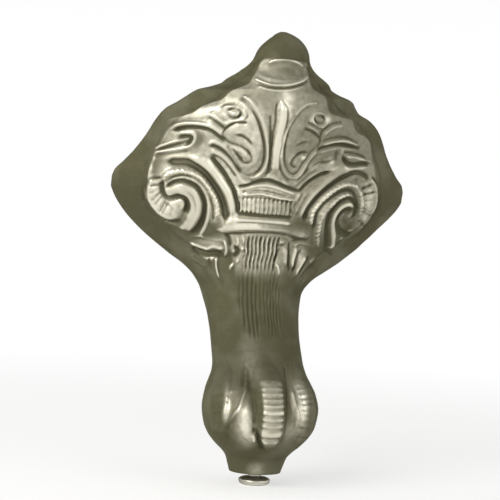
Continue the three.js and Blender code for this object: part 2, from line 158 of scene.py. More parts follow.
def frontAt(x, z, step=castingForm["panelStep"]):
    half, rim, front, away = halfWidth(z, x), rimDepth(z), frontDepth(z), np.abs(x)
    leg = rim - (rim - front) * np.sqrt(np.clip(1 - (away / half) ** 2, 0, None))
    panel = panelWidth(z, half)
    edge = rim - castingForm["rimEdge"]
    panelEdge = edge - castingForm["rimSlope"] * (half - panel)
    inner = mix(front, panelEdge, (away / panel) ** castingForm["crownPower"])
    outer = mix(panelEdge + step, edge, np.clip((away - panel) / (half - panel), 0, None))
    outer = mix(panelEdge, outer, smooth(0, 0.8, away - panel) if step else 1)
    return mix(leg, np.where(away <= panel, inner, outer), wingShare(z))


def backAt(x, z):
    bulge = np.sqrt(np.clip(1 - (x / halfWidth(z, x)) ** 2, 0, None))
    return (rimDepth(z) + castingForm["backLip"] + castingForm["backRound"] * smooth(50, 70, z)
            + backSwell(z) * bulge)


def surfacePoint(x, z):
    return np.stack([x, frontAt(x, z, 0), z], -1)


def surfaceNormal(x, z):
    alongX = surfacePoint(x + 0.5, z) - surfacePoint(x - 0.5, z)
    alongZ = surfacePoint(x, z + 0.5) - surfacePoint(x, z - 0.5)
    outward = np.cross(alongX, alongZ)
    return outward / np.linalg.norm(outward, axis=-1, keepdims=True)


def drawnHeight(z):
    # the pattern's own height at a height of the part
    return castingForm["patternBase"] + (z - castingForm["collarBottom"]) / scaleZ


def toMetres(points):
    placed = np.array(points, float)
    placed[..., 2] = castingForm["collarBottom"] + (placed[..., 2] - castingForm["patternBase"]) * scaleZ
    return placed / 1000


# Carving read off the photograph: (width, height, [(x, z), ...]); a negative height is a groove.
carvingPlan = {
    "leftPetal": [
        (5.6, 0.9, [(-18.75, 183.75), (-14.25, 176.5), (-10.5, 168.75), (-9.25, 161), (-10.75, 154.25)]),
        (2.2, 1.3, [(-19.25, 186.75), (-16, 185.25), (-12.75, 181.5), (-9.25, 176.75), (-6.25, 171),
            (-4.25, 164.5), (-3.25, 158.5), (-4, 153.75), (-6.5, 150.5), (-10.5, 149.5)]),
        (0.9, -0.7, [(-17, 186.5), (-13.25, 183.25), (-9.5, 178), (-6.25, 171.75), (-3.75, 165)]),
        (1.4, -1.2, [(-20.5, 186.25), (-17.5, 183.75), (-14.25, 180.25), (-11.25, 176), (-8.5, 171),
            (-6, 165.75), (-4.75, 160.75), (-4.75, 155.5), (-6.75, 151.75), (-9.5, 150.25), (-12.5, 150.75),
            (-15.5, 153.5), (-18.75, 157.25), (-21.75, 161), (-23.75, 163.75)]),
    ],
    "leftEye": [
        (1.3, 0.9, [(-27, 178.75), (-27, 181.5), (-23.5, 181.75), (-20, 180.75), (-17.25, 178), (-18, 176),
            (-21.25, 175.5), (-24.5, 175.75), (-26.5, 178.75)]),
        (1.3, -1.8, [(-25.75, 180), (-23.5, 180.75), (-20.25, 180), (-19.5, 178.25), (-20.75, 176.5),
            (-23.5, 176.5), (-25.25, 178.25), (-25.75, 180)]),
        (1.1, -1.2, [(-27.75, 178), (-27.75, 182), (-23.5, 183), (-19.25, 181.5), (-16.25, 178.5),
            (-16.75, 175.5)]),
        (3.4, 1.3, [(-23.75, 178.5), (-21.5, 178.5)]),
        (1.3, 0.9, [(-25.5, 173.5), (-22.5, 174.75), (-18.75, 175.25), (-15.5, 175.25)]),
    ],
    "leftTongue": [
        (1.4, -1.3, [(-15.5, 174.5), (-19.25, 174.5), (-22.25, 173.75), (-24.75, 171.75), (-26.25, 169.5),
            (-25.75, 167.5), (-23.25, 165.25), (-20.25, 164.25), (-16.75, 163.25), (-13.75, 161.5),
            (-11.25, 159.25), (-11, 156.75), (-13, 155.75), (-15.75, 156.75), (-18, 159.5),
            (-20.75, 162.25)]),
        (2.6, 1.1, [(-20.5, 162.75), (-17.5, 162), (-14.75, 160.5), (-13.25, 158.25)]),
        (2.2, -1.2, [(-19.25, 160.75), (-16.75, 158.25), (-14.25, 157)]),
        (1.4, 0.8, [(-20.25, 170), (-17, 169.75), (-13.75, 168), (-11, 165.25)]),
        (1.2, -1.4, [(-20, 169), (-16.75, 168), (-13.5, 166.25), (-11.25, 164.5)]),
        (5.2, 0.8, [(-23.5, 169.5), (-19.5, 171), (-15, 171.75), (-11, 169.25)]),
    ],
    "leftLeaves": [
        (1.7, 0.9, [(-33.75, 178), (-30.75, 176.75), (-28, 175), (-25, 173.25)]),
        (1.3, -1.7, [(-34, 177), (-31, 174.75), (-28, 172.75), (-25.5, 170.75)]),
        (1.3, 0.8, [(-33.25, 175.25), (-30.5, 173), (-27.25, 170.75), (-26, 169.25)]),
        (1.1, -1.4, [(-33.5, 179), (-30, 177.5), (-25.25, 174.5)]),
        (2.8, 1.7, [(-49.5, 170.75), (-46.75, 172.5), (-43.25, 173.25), (-39.5, 173.25), (-35, 173),
            (-31.25, 171.5), (-28.25, 169.75), (-25.75, 167.5)]),
        (2.5, -1.7, [(-48.75, 169.75), (-45, 171.25), (-40.5, 171.75), (-36, 171.25), (-31.75, 170.25),
            (-28.25, 168), (-24.75, 165)]),
        (1, -0.6, [(-49.5, 172.75), (-46, 174.5), (-41.75, 175), (-37.25, 174.75), (-33.25, 173.75)]),
        (5.2, -0.7, [(-38.5, 170), (-36.5, 167.5), (-36, 164.75), (-37.25, 161.75)]),
        (1.5, 0.9, [(-46.5, 168.75), (-43, 169), (-40.25, 168.75), (-38.75, 167), (-39.75, 164),
            (-42.25, 162), (-46.75, 160.75), (-51.75, 160), (-55.75, 159.25)]),
        (2.6, -1.6, [(-46.5, 166.5), (-42.75, 167), (-40.5, 166.5), (-41, 164.5), (-42.75, 162.75)]),
        (1.6, -1.2, [(-55.75, 160.25), (-51.75, 161.5), (-48, 162.75), (-44, 164), (-41.25, 165.25)]),
        (1.4, 1.1, [(-56.75, 160.75), (-52.75, 162.5), (-49, 164.25), (-45.25, 165.25)]),
        (2.6, -0.7, [(-56.5, 157.75), (-51.75, 158.25), (-45.75, 159.25), (-40.25, 160.25)]),
        (1.6, 1.1, [(-32.25, 163.75), (-30.75, 165), (-28.5, 164.75), (-24.75, 163), (-21.5, 160.25),
            (-18.75, 157), (-15.5, 153.5), (-12, 150.25), (-9, 149)]),
        (2.1, -1.4, [(-31.75, 163), (-29, 162.75), (-25.5, 161), (-21.75, 158.25), (-18.25, 154.75),
            (-14.5, 151)]),
        (1.4, 1, [(-30.75, 161.5), (-26.75, 160.25), (-22.75, 157.75), (-19, 154), (-15.5, 150),
            (-11.75, 147.75)]),
        (1.9, -1.4, [(-30.5, 159.25), (-27.5, 158.25), (-24.25, 156.5), (-20.25, 153), (-16.5, 149)]),
        (1.7, 1.2, [(-30.5, 160.25), (-27.25, 159), (-24, 157), (-20, 153.75), (-16.75, 150.25),
            (-14.25, 147.5), (-11, 146.5)]),
        (2.6, -1.8, [(-30.5, 158), (-27, 154.75), (-23, 150.75), (-19.75, 146.5), (-17, 142.25),
            (-15.25, 137.5), (-14, 131.75)]),
    ],
    "leftVolute": [
        (6, 1.7, [(-40, 157.75), (-35, 155.75), (-30.25, 152.5), (-25.5, 147.75), (-20.75, 142),
            (-17.75, 136), (-16, 130.25)]),
        (4.6, -2.2, [(-50.5, 154.75), (-46.25, 154.75), (-41.5, 154.75), (-37.25, 153.25), (-33, 150.75),
            (-29.25, 147.25), (-25.25, 142.5), (-22, 137.75), (-20, 132.5), (-19.25, 127.5)]),
        (1.2, -1.1, [(-50.5, 144.25), (-48.25, 146.5), (-45, 148), (-41.25, 148.5), (-37.5, 147.75),
            (-33.75, 145.5), (-30.5, 142.25), (-27.75, 137.75), (-26, 133), (-25.5, 127.25)]),
        (1.4, 1.1, [(-51.25, 142), (-50, 144), (-47.25, 146), (-43.5, 147), (-39.25, 146.75), (-35.75, 145),
            (-32.5, 142), (-29.75, 138.25), (-28.5, 134), (-28.25, 129), (-29, 124), (-30.5, 120)]),
        (2.9, -1.6, [(-49.75, 141.75), (-48.25, 144), (-45.75, 145.5), (-42.5, 146), (-38.75, 145.25),
            (-35, 143.5), (-32.5, 140.25), (-30.75, 136.75), (-30.25, 132.75), (-30.5, 128.5),
            (-32, 124.25), (-34.5, 120.5)]),
        (8.6, 2, [(-46.75, 141.25), (-42.5, 142.25), (-38.25, 140), (-35.5, 136), (-34.75, 131.25),
            (-36.25, 126.75), (-39.75, 123)]),
        (2.2, 0.8, [(-44.25, 144.75), (-40.5, 144.25), (-37.25, 142.5), (-35, 140), (-33.25, 136.5),
            (-32.5, 132.75), (-33, 128.5), (-34.5, 124.5), (-37, 120.75)]),
        (3, -3, [(-51.75, 145.25), (-51.75, 141.5), (-50.25, 138.25), (-48, 136.75), (-45.25, 137.5),
            (-42.5, 138.25), (-40, 137.5), (-38.5, 135), (-38.5, 132.5), (-39.75, 131)]),
        (6.8, 0.9, [(-55, 145.75), (-55.25, 141.25), (-54.25, 137), (-51.25, 133), (-47, 130.75),
            (-43, 131.25), (-40.25, 133)]),
        (2.2, 0.7, [(-56.5, 148), (-57.75, 142.5), (-57.5, 137.75), (-55.5, 134), (-51.75, 130.5),
            (-48, 128.25), (-44.25, 128), (-40.75, 129.5)]),
        (3, 0.45, [(-47.5, 134.5), (-44.75, 133.75), (-42.5, 134.25)]),
        (2.2, -1.3, [(-58.5, 146), (-59.5, 141), (-58.25, 135.75), (-55, 131), (-50.25, 127.25),
            (-45.25, 125.75), (-40.75, 126.75)]),
    ],
    "leftTicks": [
        (1.3, -1.5, [(-58, 146.25), (-52.25, 146.75)]),
        (1.3, -1.5, [(-58, 142.75), (-52, 143.5)]),
        (1.2, -1.4, [(-55.75, 135.5), (-51.75, 140.25)]),
        (1.2, -1.4, [(-54.25, 133.75), (-51, 138)]),
        (1.2, -1.4, [(-51.5, 130.25), (-49, 136.25)]),
        (1.2, -1.3, [(-49.75, 129.75), (-47.5, 135.5)]),
        (1.1, -0.9, [(-57.75, 139), (-53, 141.5)]),
        (1.1, -0.8, [(-45.75, 128.75), (-45.5, 133.5)]),
    ],
    "rightPetal": [
        (6.4, 0.8, [(11, 178), (8.5, 169.5), (8.25, 162), (10.5, 155.5)]),
        (1.6, 1.1, [(18, 186.25), (12.5, 184.75), (8.75, 181.5), (6, 177.5), (4, 172.5), (3.25, 166.75),
            (3.5, 160.75), (5, 155.75), (7.75, 152), (11, 150.5), (13.75, 151.75), (15.75, 155.25)]),
        (1, -1, [(13.75, 184.5), (9.75, 181.5), (7, 177.5), (5, 172.75), (4.5, 167.25), (4.75, 161.75),
            (6, 156.75), (8.5, 153.25), (11.25, 152), (13.5, 153.5), (14.75, 156.75), (16.5, 160.25),
            (18.5, 163.25), (20.75, 165.5)]),
        (1.2, -0.8, [(7, 179.75), (4.5, 175.75), (3.25, 170.5), (2.75, 165), (2.75, 159.75), (4, 155.25),
            (7, 150.5), (10.25, 148.25)]),
        (1.3, 1, [(2, 166.75), (2, 160.75), (2.75, 155.5), (4.75, 151.25), (8.5, 147.75)]),
    ],
    "rightEye": [
        (2.4, 1.5, [(15.75, 178.75), (16, 177.5)]),
        (2.4, 1.5, [(23.75, 179.75), (23.75, 178)]),
        (1.3, 0.9, [(15.25, 179), (17.25, 180.75), (20, 181.25), (22.75, 180.75)]),
        (1.4, 1.1, [(16, 177.5), (18, 175.75), (20.75, 174.75), (22.75, 176.25), (24.25, 178.75)]),
        (1.2, -1.2, [(17.5, 179.75), (17.25, 178), (19, 176.5), (21.5, 176.75), (22.5, 178.5), (21, 180),
            (17.5, 179.75)]),
        (2.6, 0.9, [(19.25, 178.25), (20.25, 178.5)]),
        (1.2, -1.1, [(13, 176.75), (16.5, 175.5), (20, 174.25), (21.75, 173.75)]),
        (1.4, -1.3, [(12.25, 173.5), (16.25, 172.5), (19.75, 170.75), (21.75, 169.25)]),
        (1.3, 0.7, [(13, 175.25), (17, 174), (20.25, 172.25)]),
        (1.4, -1.2, [(33, 178.75), (27.75, 177.25), (24.25, 175), (22, 172.5), (21.75, 169.75), (22, 167.5),
            (20.5, 165)]),
        (1.9, 1.1, [(33, 177.25), (28.5, 175.75), (25, 173.5), (23, 171.25)]),
        (0.9, -0.6, [(30.5, 174.5), (26.75, 172.75), (24, 170.25)]),
        (1.5, 0.8, [(9.75, 166.75), (12.75, 168.5), (17, 168.5)]),
        (1.1, -0.9, [(9.5, 165), (12.5, 166.75), (16, 167.75)]),
        (1.6, -1.4, [(16.75, 162.5), (13.25, 162.25), (10.5, 160.25), (9.25, 157.75), (10, 155.75),
            (12.5, 155.25)]),
        (2.5, 1.5, [(16.25, 161.75), (14.5, 160), (14, 158.5)]),
    ],
    "rightLeaves": [
        (1.3, -1.1, [(22.5, 167.5), (26, 169.5), (30.75, 170.75), (35.75, 171.25), (40.75, 170),
            (44, 169)]),
        (2.1, 1.3, [(23.5, 166.5), (28.25, 168.5), (33.75, 169.75), (38.5, 169.5), (44.25, 168)]),
        (2.2, -1.6, [(20.75, 163.5), (25, 166), (30.25, 167.5), (35.75, 167.75), (41.75, 167.25),
            (45.5, 167.25)]),
        (1.4, 0.9, [(21.75, 163), (26.25, 164.5), (31.5, 166), (37.25, 166.25), (43.25, 166.25)]),
        (4, -0.8, [(32, 165.75), (32, 162.25), (32.5, 158.5)]),
        (1.7, 1.1, [(35, 165.75), (34.5, 162.75)]),
        (1.3, -1.1, [(35.75, 164), (40.5, 164.25), (45.5, 163.75), (50, 162.25)]),
        (1.9, 1.2, [(36.75, 162.5), (42, 162.5), (47.5, 161.75), (53, 160.5)]),
        (2.9, -1.7, [(35.75, 162.5), (37.25, 160.25), (40.25, 158.75), (44.25, 159), (48.5, 160),
            (52, 160)]),
        (1.3, 0.7, [(35, 160.5), (37.75, 157.5), (42.5, 157), (48, 158), (52.75, 158.5)]),
        (1.3, 0.9, [(23.75, 157), (28, 157), (31.25, 157.5)]),
        (1.2, -1, [(24, 157.75), (28, 159), (31.5, 160.5)]),
        (1.3, 0.9, [(23.75, 158.75), (27.75, 160.5), (30.25, 161.5)]),
        (0.9, -0.7, [(23.5, 159.5), (27, 161.25)]),
        (1, -0.8, [(31.75, 156.75), (27, 156), (22.75, 154.5), (19, 152), (15.75, 148.5), (13.25, 145)]),
        (1.9, 1.4, [(32, 156), (26.75, 155), (23, 153.25), (19.75, 150.75), (16.75, 147), (14.5, 144.25)]),
        (1.3, -1, [(26.75, 159.5), (22.5, 157.75), (19, 154.75), (16, 151.5), (13.25, 148.75)]),
        (1.5, 1.1, [(21.25, 156), (17.75, 152.5), (15.25, 149.5), (12, 147)]),
        (1.6, 1.1, [(21.75, 164.75), (19, 161.75), (17, 158.25), (16, 154.75), (14.75, 151.5),
            (12.25, 149.5)]),
        (1, -0.9, [(23.5, 163), (20.25, 160.25), (18.5, 157), (17.25, 154), (15.5, 150.5)]),
        (2.8, -1.8, [(30.25, 154.5), (26, 153.5), (22.25, 151.25), (19, 148.5), (16.25, 145.25),
            (14.75, 143.25)]),
    ],
    "rightVolute": [
        (6, 1.6, [(17.5, 132), (19.75, 137.75), (22.75, 143.5), (27, 148.5), (31.5, 152.75), (36.25, 156),
            (42.25, 157.5)]),
        (3, -2, [(20.75, 129.75), (20.75, 135), (23.75, 140.25), (27.75, 144.75), (32, 148.5),
            (36.25, 151.5), (41, 153.75), (45.25, 155), (49.75, 154.25), (53.25, 152.25)]),
        (5.4, -0.9, [(42.75, 151.5), (47.25, 152.5), (51.25, 151.5)]),
        (1.3, -1.3, [(26.25, 126), (25.75, 132.5), (27.75, 137), (31.25, 141.25), (35.25, 144.25),
            (39.25, 146), (43.25, 145.75), (46, 143.25), (48, 139.75), (49, 135.75)]),
        (2.5, -1.7, [(35.5, 116), (34.25, 122.25), (33.25, 127.75), (33.5, 133.25), (35.5, 137.75),
            (38.75, 141), (42.25, 142.5), (45.5, 141), (47.5, 137.75), (47.75, 134.5), (46, 132.5)]),
        (3.4, 1.6, [(38.5, 116), (38, 121.5), (36.75, 127), (36, 132), (37.5, 136.25), (40.25, 138.75),
            (43.5, 139.5), (46, 137.75)]),
        (3.4, -2.6, [(46.25, 136.5), (42.5, 136.75), (39.5, 134.5), (38.5, 130.5), (40.5, 126.75),
            (44, 124.5), (48.25, 124.25)]),
        (7, -1.5, [(42, 134.5), (42.5, 130.5), (45.5, 127.25)]),
        (4, -1.2, [(41, 135), (45, 134.75)]),
        (5.4, 0.5, [(46.75, 129.25), (49, 129.25), (51, 131)]),
        (2, 0.7, [(51, 153.75), (55.25, 151), (57.25, 146.5), (58.25, 141), (58, 136), (56, 131.25),
            (53.25, 127), (49, 123.75), (43.5, 122.5)]),
        (6.6, 0.9, [(51.5, 149.5), (53.5, 144.75), (54.25, 139.25), (53.5, 134.25), (52, 129.5)]),
        (2.2, -1.3, [(54, 154.25), (58.25, 150), (60, 144.5), (60.5, 138.25), (58.75, 132.5),
            (55.75, 127.25), (51.25, 122.25)]),
        (2.4, 1.1, [(39.25, 115), (42.75, 118.75), (46, 121.75)]),
    ],
    "rightTicks": [
        (1.5, -1.5, [(48.5, 147), (54.75, 150)]),
        (1.5, -1.5, [(49.5, 144.5), (57.25, 146.5)]),
        (1.2, -1.5, [(49.5, 137.25), (57.75, 134.25)]),
        (1.1, -1.2, [(49.75, 139), (56, 136.5)]),
        (1.3, -1.5, [(50.25, 132.25), (56.75, 128.5)]),
        (1.2, -1.2, [(47.5, 150.25), (53, 152.5)]),
        (1.2, -1.2, [(44.5, 151), (48.75, 154.25)]),
        (1, -0.8, [(50.75, 141.75), (57.25, 142.75)]),
    ],
    "middle": [
        (5, 2.2, [(-0.5, 184.75), (0.75, 181), (1, 176.5), (0.75, 170.5), (0.5, 164.25), (0.75, 158.75),
            (1.5, 152.5)]),
        (1.1, -1, [(-2.75, 184.75), (-3, 181.25), (-2.5, 176.25), (-2.5, 170.25), (-2.25, 163.25)]),
        (1.1, -0.9, [(2.5, 182.5), (3.25, 178.5), (3, 173), (2.5, 166.75)]),
        (1.6, -1.1, [(-5.5, 178.75), (-4, 171.5), (-2.5, 163.25), (-1.5, 156.25), (-1.5, 152),
            (-5.25, 148.75), (-10.25, 147.25)]),
        (1.4, 1, [(-14.75, 145.75), (-10.5, 146.75), (-6.75, 148.25), (-3.5, 149.75), (-0.5, 150.5),
            (2.5, 149.25), (6.5, 147.5), (10, 146.5)]),
        (1.9, -1.8, [(-15.5, 144.5), (-11.5, 145.25), (-7, 147), (-3.75, 148), (0.25, 148.25),
            (4.5, 147.25), (8.75, 145.75), (13, 144.5), (15.75, 144.25)]),
        (1.7, 1.1, [(-15.25, 143.5), (-11.75, 144.25), (-7, 145.5), (-2, 146), (3.25, 145.25), (8.5, 144),
            (13.75, 142.75)]),
        (1.1, -1, [(-13.5, 142), (-9, 142.5), (-4, 143), (0, 142.75), (5.25, 141.75), (11, 140.75),
            (14.5, 140.75)]),
        (2, 1.3, [(-12.25, 140.75), (-8, 141.5), (-4, 141.75), (0.25, 141.25), (4.25, 140.5), (9, 140),
            (14.25, 139.75)]),
        (1, -1, [(-13.5, 139.25), (-8.75, 139.5), (-2.75, 139.75), (2.5, 139.5), (7.5, 139),
            (12.25, 138.5)]),
        (2.4, 1.3, [(-14.5, 143.25), (-14.5, 141), (-13.5, 139.25)]),
        (1.7, -1.9, [(-14, 131.5), (-7.5, 131.25), (0, 131), (7.75, 131), (13.75, 131)]),
        (9.4, 1.3, [(-21.5, 124.5), (-15, 126), (-9, 126.75), (-1, 127), (7.25, 126.75), (14.5, 126),
            (22.5, 123.75)]),
        (2.6, 0.8, [(-15.25, 128.75), (-11.25, 129), (-6.25, 129), (-1.25, 129), (6, 128.75),
            (13.25, 128.25)]),
        (0.9, -0.45, [(-24.5, 125), (-17.75, 126.25), (-11, 127), (-4.5, 127.25), (3, 127.25), (10.25, 127),
            (16.75, 126), (23.5, 124.5)]),
        (6.6, 1.6, [(-23.25, 123.25), (-17.5, 124.5), (-11.75, 125), (-5.75, 125.5), (1.25, 125.5),
            (8.5, 125.5), (16, 124.5), (23.75, 122.5)]),
        (0.8, -0.5, [(-25.25, 124), (-21, 124.5), (-16.75, 125)]),
        (0.8, -0.5, [(-25.5, 122.5), (-21.25, 123), (-17, 123.75)]),
        (0.8, -0.45, [(11.5, 125), (17, 124), (22.75, 122.5)]),
        (1.5, -1.1, [(-19.75, 121.25), (-13.5, 122), (-8.5, 122.5), (-2.5, 123), (4.5, 123.25),
            (10.75, 122.75), (16.5, 121.25), (22.5, 120.5)]),
        (1.7, 1.2, [(16.5, 143.75), (15.25, 140.75), (14, 137.25), (13.5, 133.75)]),
        (1.7, 1.2, [(19.5, 144.25), (17.5, 140.5), (15.75, 136.5), (14.75, 132.75)]),
        (1, -0.9, [(17.75, 143.75), (16.25, 140), (15, 135.75), (14.25, 132.25)]),
        (1.2, -1, [(14.75, 138.5), (13.25, 135.75), (13.25, 132.25)]),
        (1.1, -0.9, [(20.75, 144), (18.75, 139.75), (17, 135.5), (16.25, 132)]),
    ],
    "dish": [
        (1.8, 1.4, [(-13.5, 195.75), (-10.25, 193.75), (-5.75, 192.75), (-0.5, 193), (5, 194),
            (9.75, 196.25), (12.25, 198.75)]),
        (1.1, -1, [(-12, 193.5), (-7.5, 191.75), (-2, 191.5), (4, 192.5), (9.25, 194.5), (12.75, 197)]),
        (1.6, 0.9, [(-12.25, 192), (-7.5, 190.5), (-1.75, 190.25), (4.5, 191.25), (10.25, 193.5)]),
        (1.7, 1.2, [(-8, 203), (-5.5, 204.25), (-2.25, 205), (2.25, 205.25), (6.5, 204.5),
            (10.25, 202.75)]),
    ],
    "fringe": [
        (1.3, 1, [(-35.75, 117.5), (-33.5, 119), (-30.25, 119.75), (-27.5, 118.75), (-23.5, 118.25),
            (-19.75, 118.25), (-17.75, 117.75)]),
        (1.5, 1.6, [(-34.5, 116.25), (-31.5, 115.25), (-28.5, 114.25), (-26.25, 113.75), (-23.5, 114.75),
            (-20.25, 114.25), (-18.25, 114)]),
        (1.7, 1.8, [(-18.5, 118), (-17.25, 114.25), (-17.25, 110.25)]),
        (3.6, 0.8, [(-33.5, 116.75), (-28, 116.5), (-21.5, 116.25)]),
        (3.6, -2, [(-34, 113.5), (-30.25, 112), (-25.5, 111), (-21.25, 111.5), (-18.25, 109.75)]),
        (2.4, 1.9, [(-33.25, 109.75), (-30.5, 108), (-27.75, 106.5), (-25.25, 103.75)]),
        (1.6, 1.7, [(-21.5, 110), (-21, 106), (-20, 102), (-19, 99.25)]),
        (2.2, -0.8, [(-24.75, 108.75), (-24, 105.5), (-22.5, 102)]),
        (3.2, -1.7, [(-14.5, 115.25), (-12.5, 114.5), (-11.5, 112.75), (-12.75, 111), (-14.5, 111.75)]),
        (1.6, 1.2, [(-12.75, 120.5), (-12, 117.5), (-12.5, 115)]),
        (1.5, 1.1, [(-9.5, 120.75), (-9.25, 116.75)]),
        (1.5, 1.2, [(-10.5, 114.25), (-8.5, 114.5), (-7.25, 113.25), (-8.75, 111.25)]),
        (2.5, 1.1, [(-12.75, 108), (-13.75, 105.5), (-14.75, 103.25)]),
        (1.7, 0.8, [(-10.5, 109.75), (-11.75, 106.5)]),
        (3.8, 1.2, [(11.75, 116.75), (12.5, 112.25), (13, 106.75)]),
        (1.3, -1.2, [(14, 119), (14.5, 114.5), (14.75, 109.5), (16, 104)]),
        (1.5, -1.1, [(9.25, 115.75), (8.25, 111.5), (7.25, 109)]),
        (1.9, 1.6, [(8.5, 108.5), (9.5, 105.25), (10, 101.25)]),
        (2.5, 1.7, [(17.75, 117.5), (17.5, 113.5), (17, 110), (17, 106)]),
        (1.5, -1.4, [(21, 115.75), (19.5, 112.75), (18.25, 109), (17.75, 104)]),
        (2.7, 1.7, [(24, 112.75), (21.75, 108.75), (19.75, 105), (18.5, 102)]),
        (1.1, 0.9, [(19.25, 114), (22, 114.75), (25, 113.25)]),
        (1.7, -1.3, [(25.75, 112.5), (23.75, 107.75), (21, 103)]),
        (2.3, 1.4, [(31.75, 107.25), (28, 104.25), (24.75, 100.5), (23.25, 97)]),
        (1.4, -1.1, [(29, 108.25), (25.25, 105.25), (22.75, 101.25)]),
        (1.7, 0.9, [(35.75, 112.25), (29.75, 111.5), (25.75, 109.25)]),
        (1.7, 1.1, [(16, 117), (19.5, 119), (23.5, 118.5), (27.75, 116.25)]),
        (1.2, -1, [(15, 119.25), (19.25, 120.5), (24.25, 120.25)]),
        (1.9, 1.2, [(10.5, 121.75), (13.25, 121.25), (14.75, 119.5)]),
        (1.3, 1, [(8.5, 118.25), (12.5, 119.25)]),
        (1.1, -1, [(7.5, 116.75), (12.25, 117.25)]),
        (1.2, 0.9, [(34.25, 115), (39.75, 111.5)]),
        (2, -1, [(32.75, 116.5), (37, 115.5), (40.5, 112.75)]),
        (3, -1.2, [(-19.25, 122.25), (-16.5, 118.75), (-15.25, 114.5)]),
    ],
    "toeEdge": [
        (2, 0.9, [(-18.5, 47.25), (-18, 46)]),
        (2.2, 1.3, [(-19.75, 44.25), (-19.5, 43)]),
        (2.2, 1.4, [(-20.25, 41.75), (-20, 40.75)]),
        (2.2, 1.4, [(-20.5, 39.5), (-20.25, 38.25)]),
        (2, 1.3, [(-21, 37), (-20.5, 36.25)]),
        (1.8, 1.1, [(-21.5, 34.75), (-21, 34.5)]),
        (1.1, -1.2, [(-25.25, 38), (-21.5, 39)]),
        (1.1, -1.2, [(-25, 35.75), (-22, 36.5)]),
        (0.9, -0.7, [(-24, 41.25), (-21, 42)]),
        (0.8, -0.5, [(-25.25, 43.75), (-20.5, 45.25)]),
        (0.8, -0.4, [(-25.25, 47.25), (-18.75, 49)]),
        (0.8, -0.4, [(-24.25, 50.5), (-17.75, 51.75)]),
    ],
    "ball": [
        (2.6, -0.75, [(-9.5, 59.25), (-11.25, 55), (-13, 49.5)]),
        (3, -0.75, [(-9, 58.5), (-9, 54.25), (-10, 48.75)]),
        (4.4, -1, [(-9, 51), (-8.75, 46.75), (-8.75, 42.5), (-8.5, 37), (-7.75, 31.25)]),
        (1.1, -0.5, [(-10.25, 45), (-10.75, 39.5), (-10.25, 34.5), (-9.5, 31)]),
        (3.6, -1.9, [(-8.75, 31.5), (-7, 29), (-5, 26.75)]),
        (3.2, -1.9, [(-6, 27.25), (-3.75, 23.75), (-0.75, 19.25)]),
        (1.5, -0.75, [(10, 59), (8.5, 52.25), (7.25, 46.75), (6.75, 41), (6.75, 35.5), (6.75, 29.5),
            (6.25, 23.25)]),
        (2.6, 1.2, [(-10.75, 51.75), (-12, 47.75), (-13.5, 44), (-15, 40.25), (-17, 37), (-18.75, 32.5)]),
        (8.6, 1.3, [(-11.75, 43), (-12.5, 38), (-12.25, 32.75), (-10.25, 28), (-7.5, 24)]),
        (1.7, 1.2, [(10, 48.5), (11, 43.75), (12.5, 38.75), (15.5, 32.25)]),
        (1.6, -0.5, [(8.5, 45), (9.75, 39.75), (12.5, 33.5)]),
        (1.8, 1.1, [(13.25, 50), (14.75, 49.75)]),
        (1.7, 0.9, [(13.25, 47.5), (14.5, 47.25)]),
        (1.5, 0.7, [(11.5, 54.5), (12, 54)]),
        (1.5, 0.8, [(12.5, 53.25), (12.75, 52.75)]),
        (0.9, 0.9, [(-24.5, 34.5), (-22, 32)]),
        (0.9, 0.8, [(-20, 33.5), (-20.5, 30.25)]),
        (0.9, 0.8, [(-17.25, 32.25), (-17.75, 29.25)]),
        (0.9, 0.8, [(-22.75, 33.5), (-20.25, 33)]),
        (0.8, -0.8, [(-21.75, 31.5), (-22, 28.25)]),
        (0.8, -0.8, [(-19, 31.75), (-19.25, 28.5)]),
        (6, -0.5, [(-23, 27), (-19, 25.25), (-15, 20.75)]),
    ],
    "rope": [
        (3.7, 2.1, [(-51.75, 145.75), (-49.5, 149), (-45.75, 150.5), (-42, 150.75), (-38.25, 150),
            (-34.75, 148.25), (-31.5, 145.75), (-28.5, 142), (-25.75, 138), (-24.25, 133.5), (-24, 128.5)]),
        (3.5, 1.9, [(24, 128), (23.75, 133.75), (26, 138.25), (29.75, 142.5), (33.5, 146), (37.25, 148.5),
            (41.5, 149.25), (45, 148.5), (47.75, 145.75), (49.5, 142.25), (50, 138.25), (50, 134.25)]),
        (4, 1.7, [(29.75, 116.75), (28.5, 123.25), (28.5, 129.25), (30, 134.5), (33.5, 139.25),
            (37.25, 142.75), (40.75, 143.75), (44.25, 142.75)]),
    ],
}
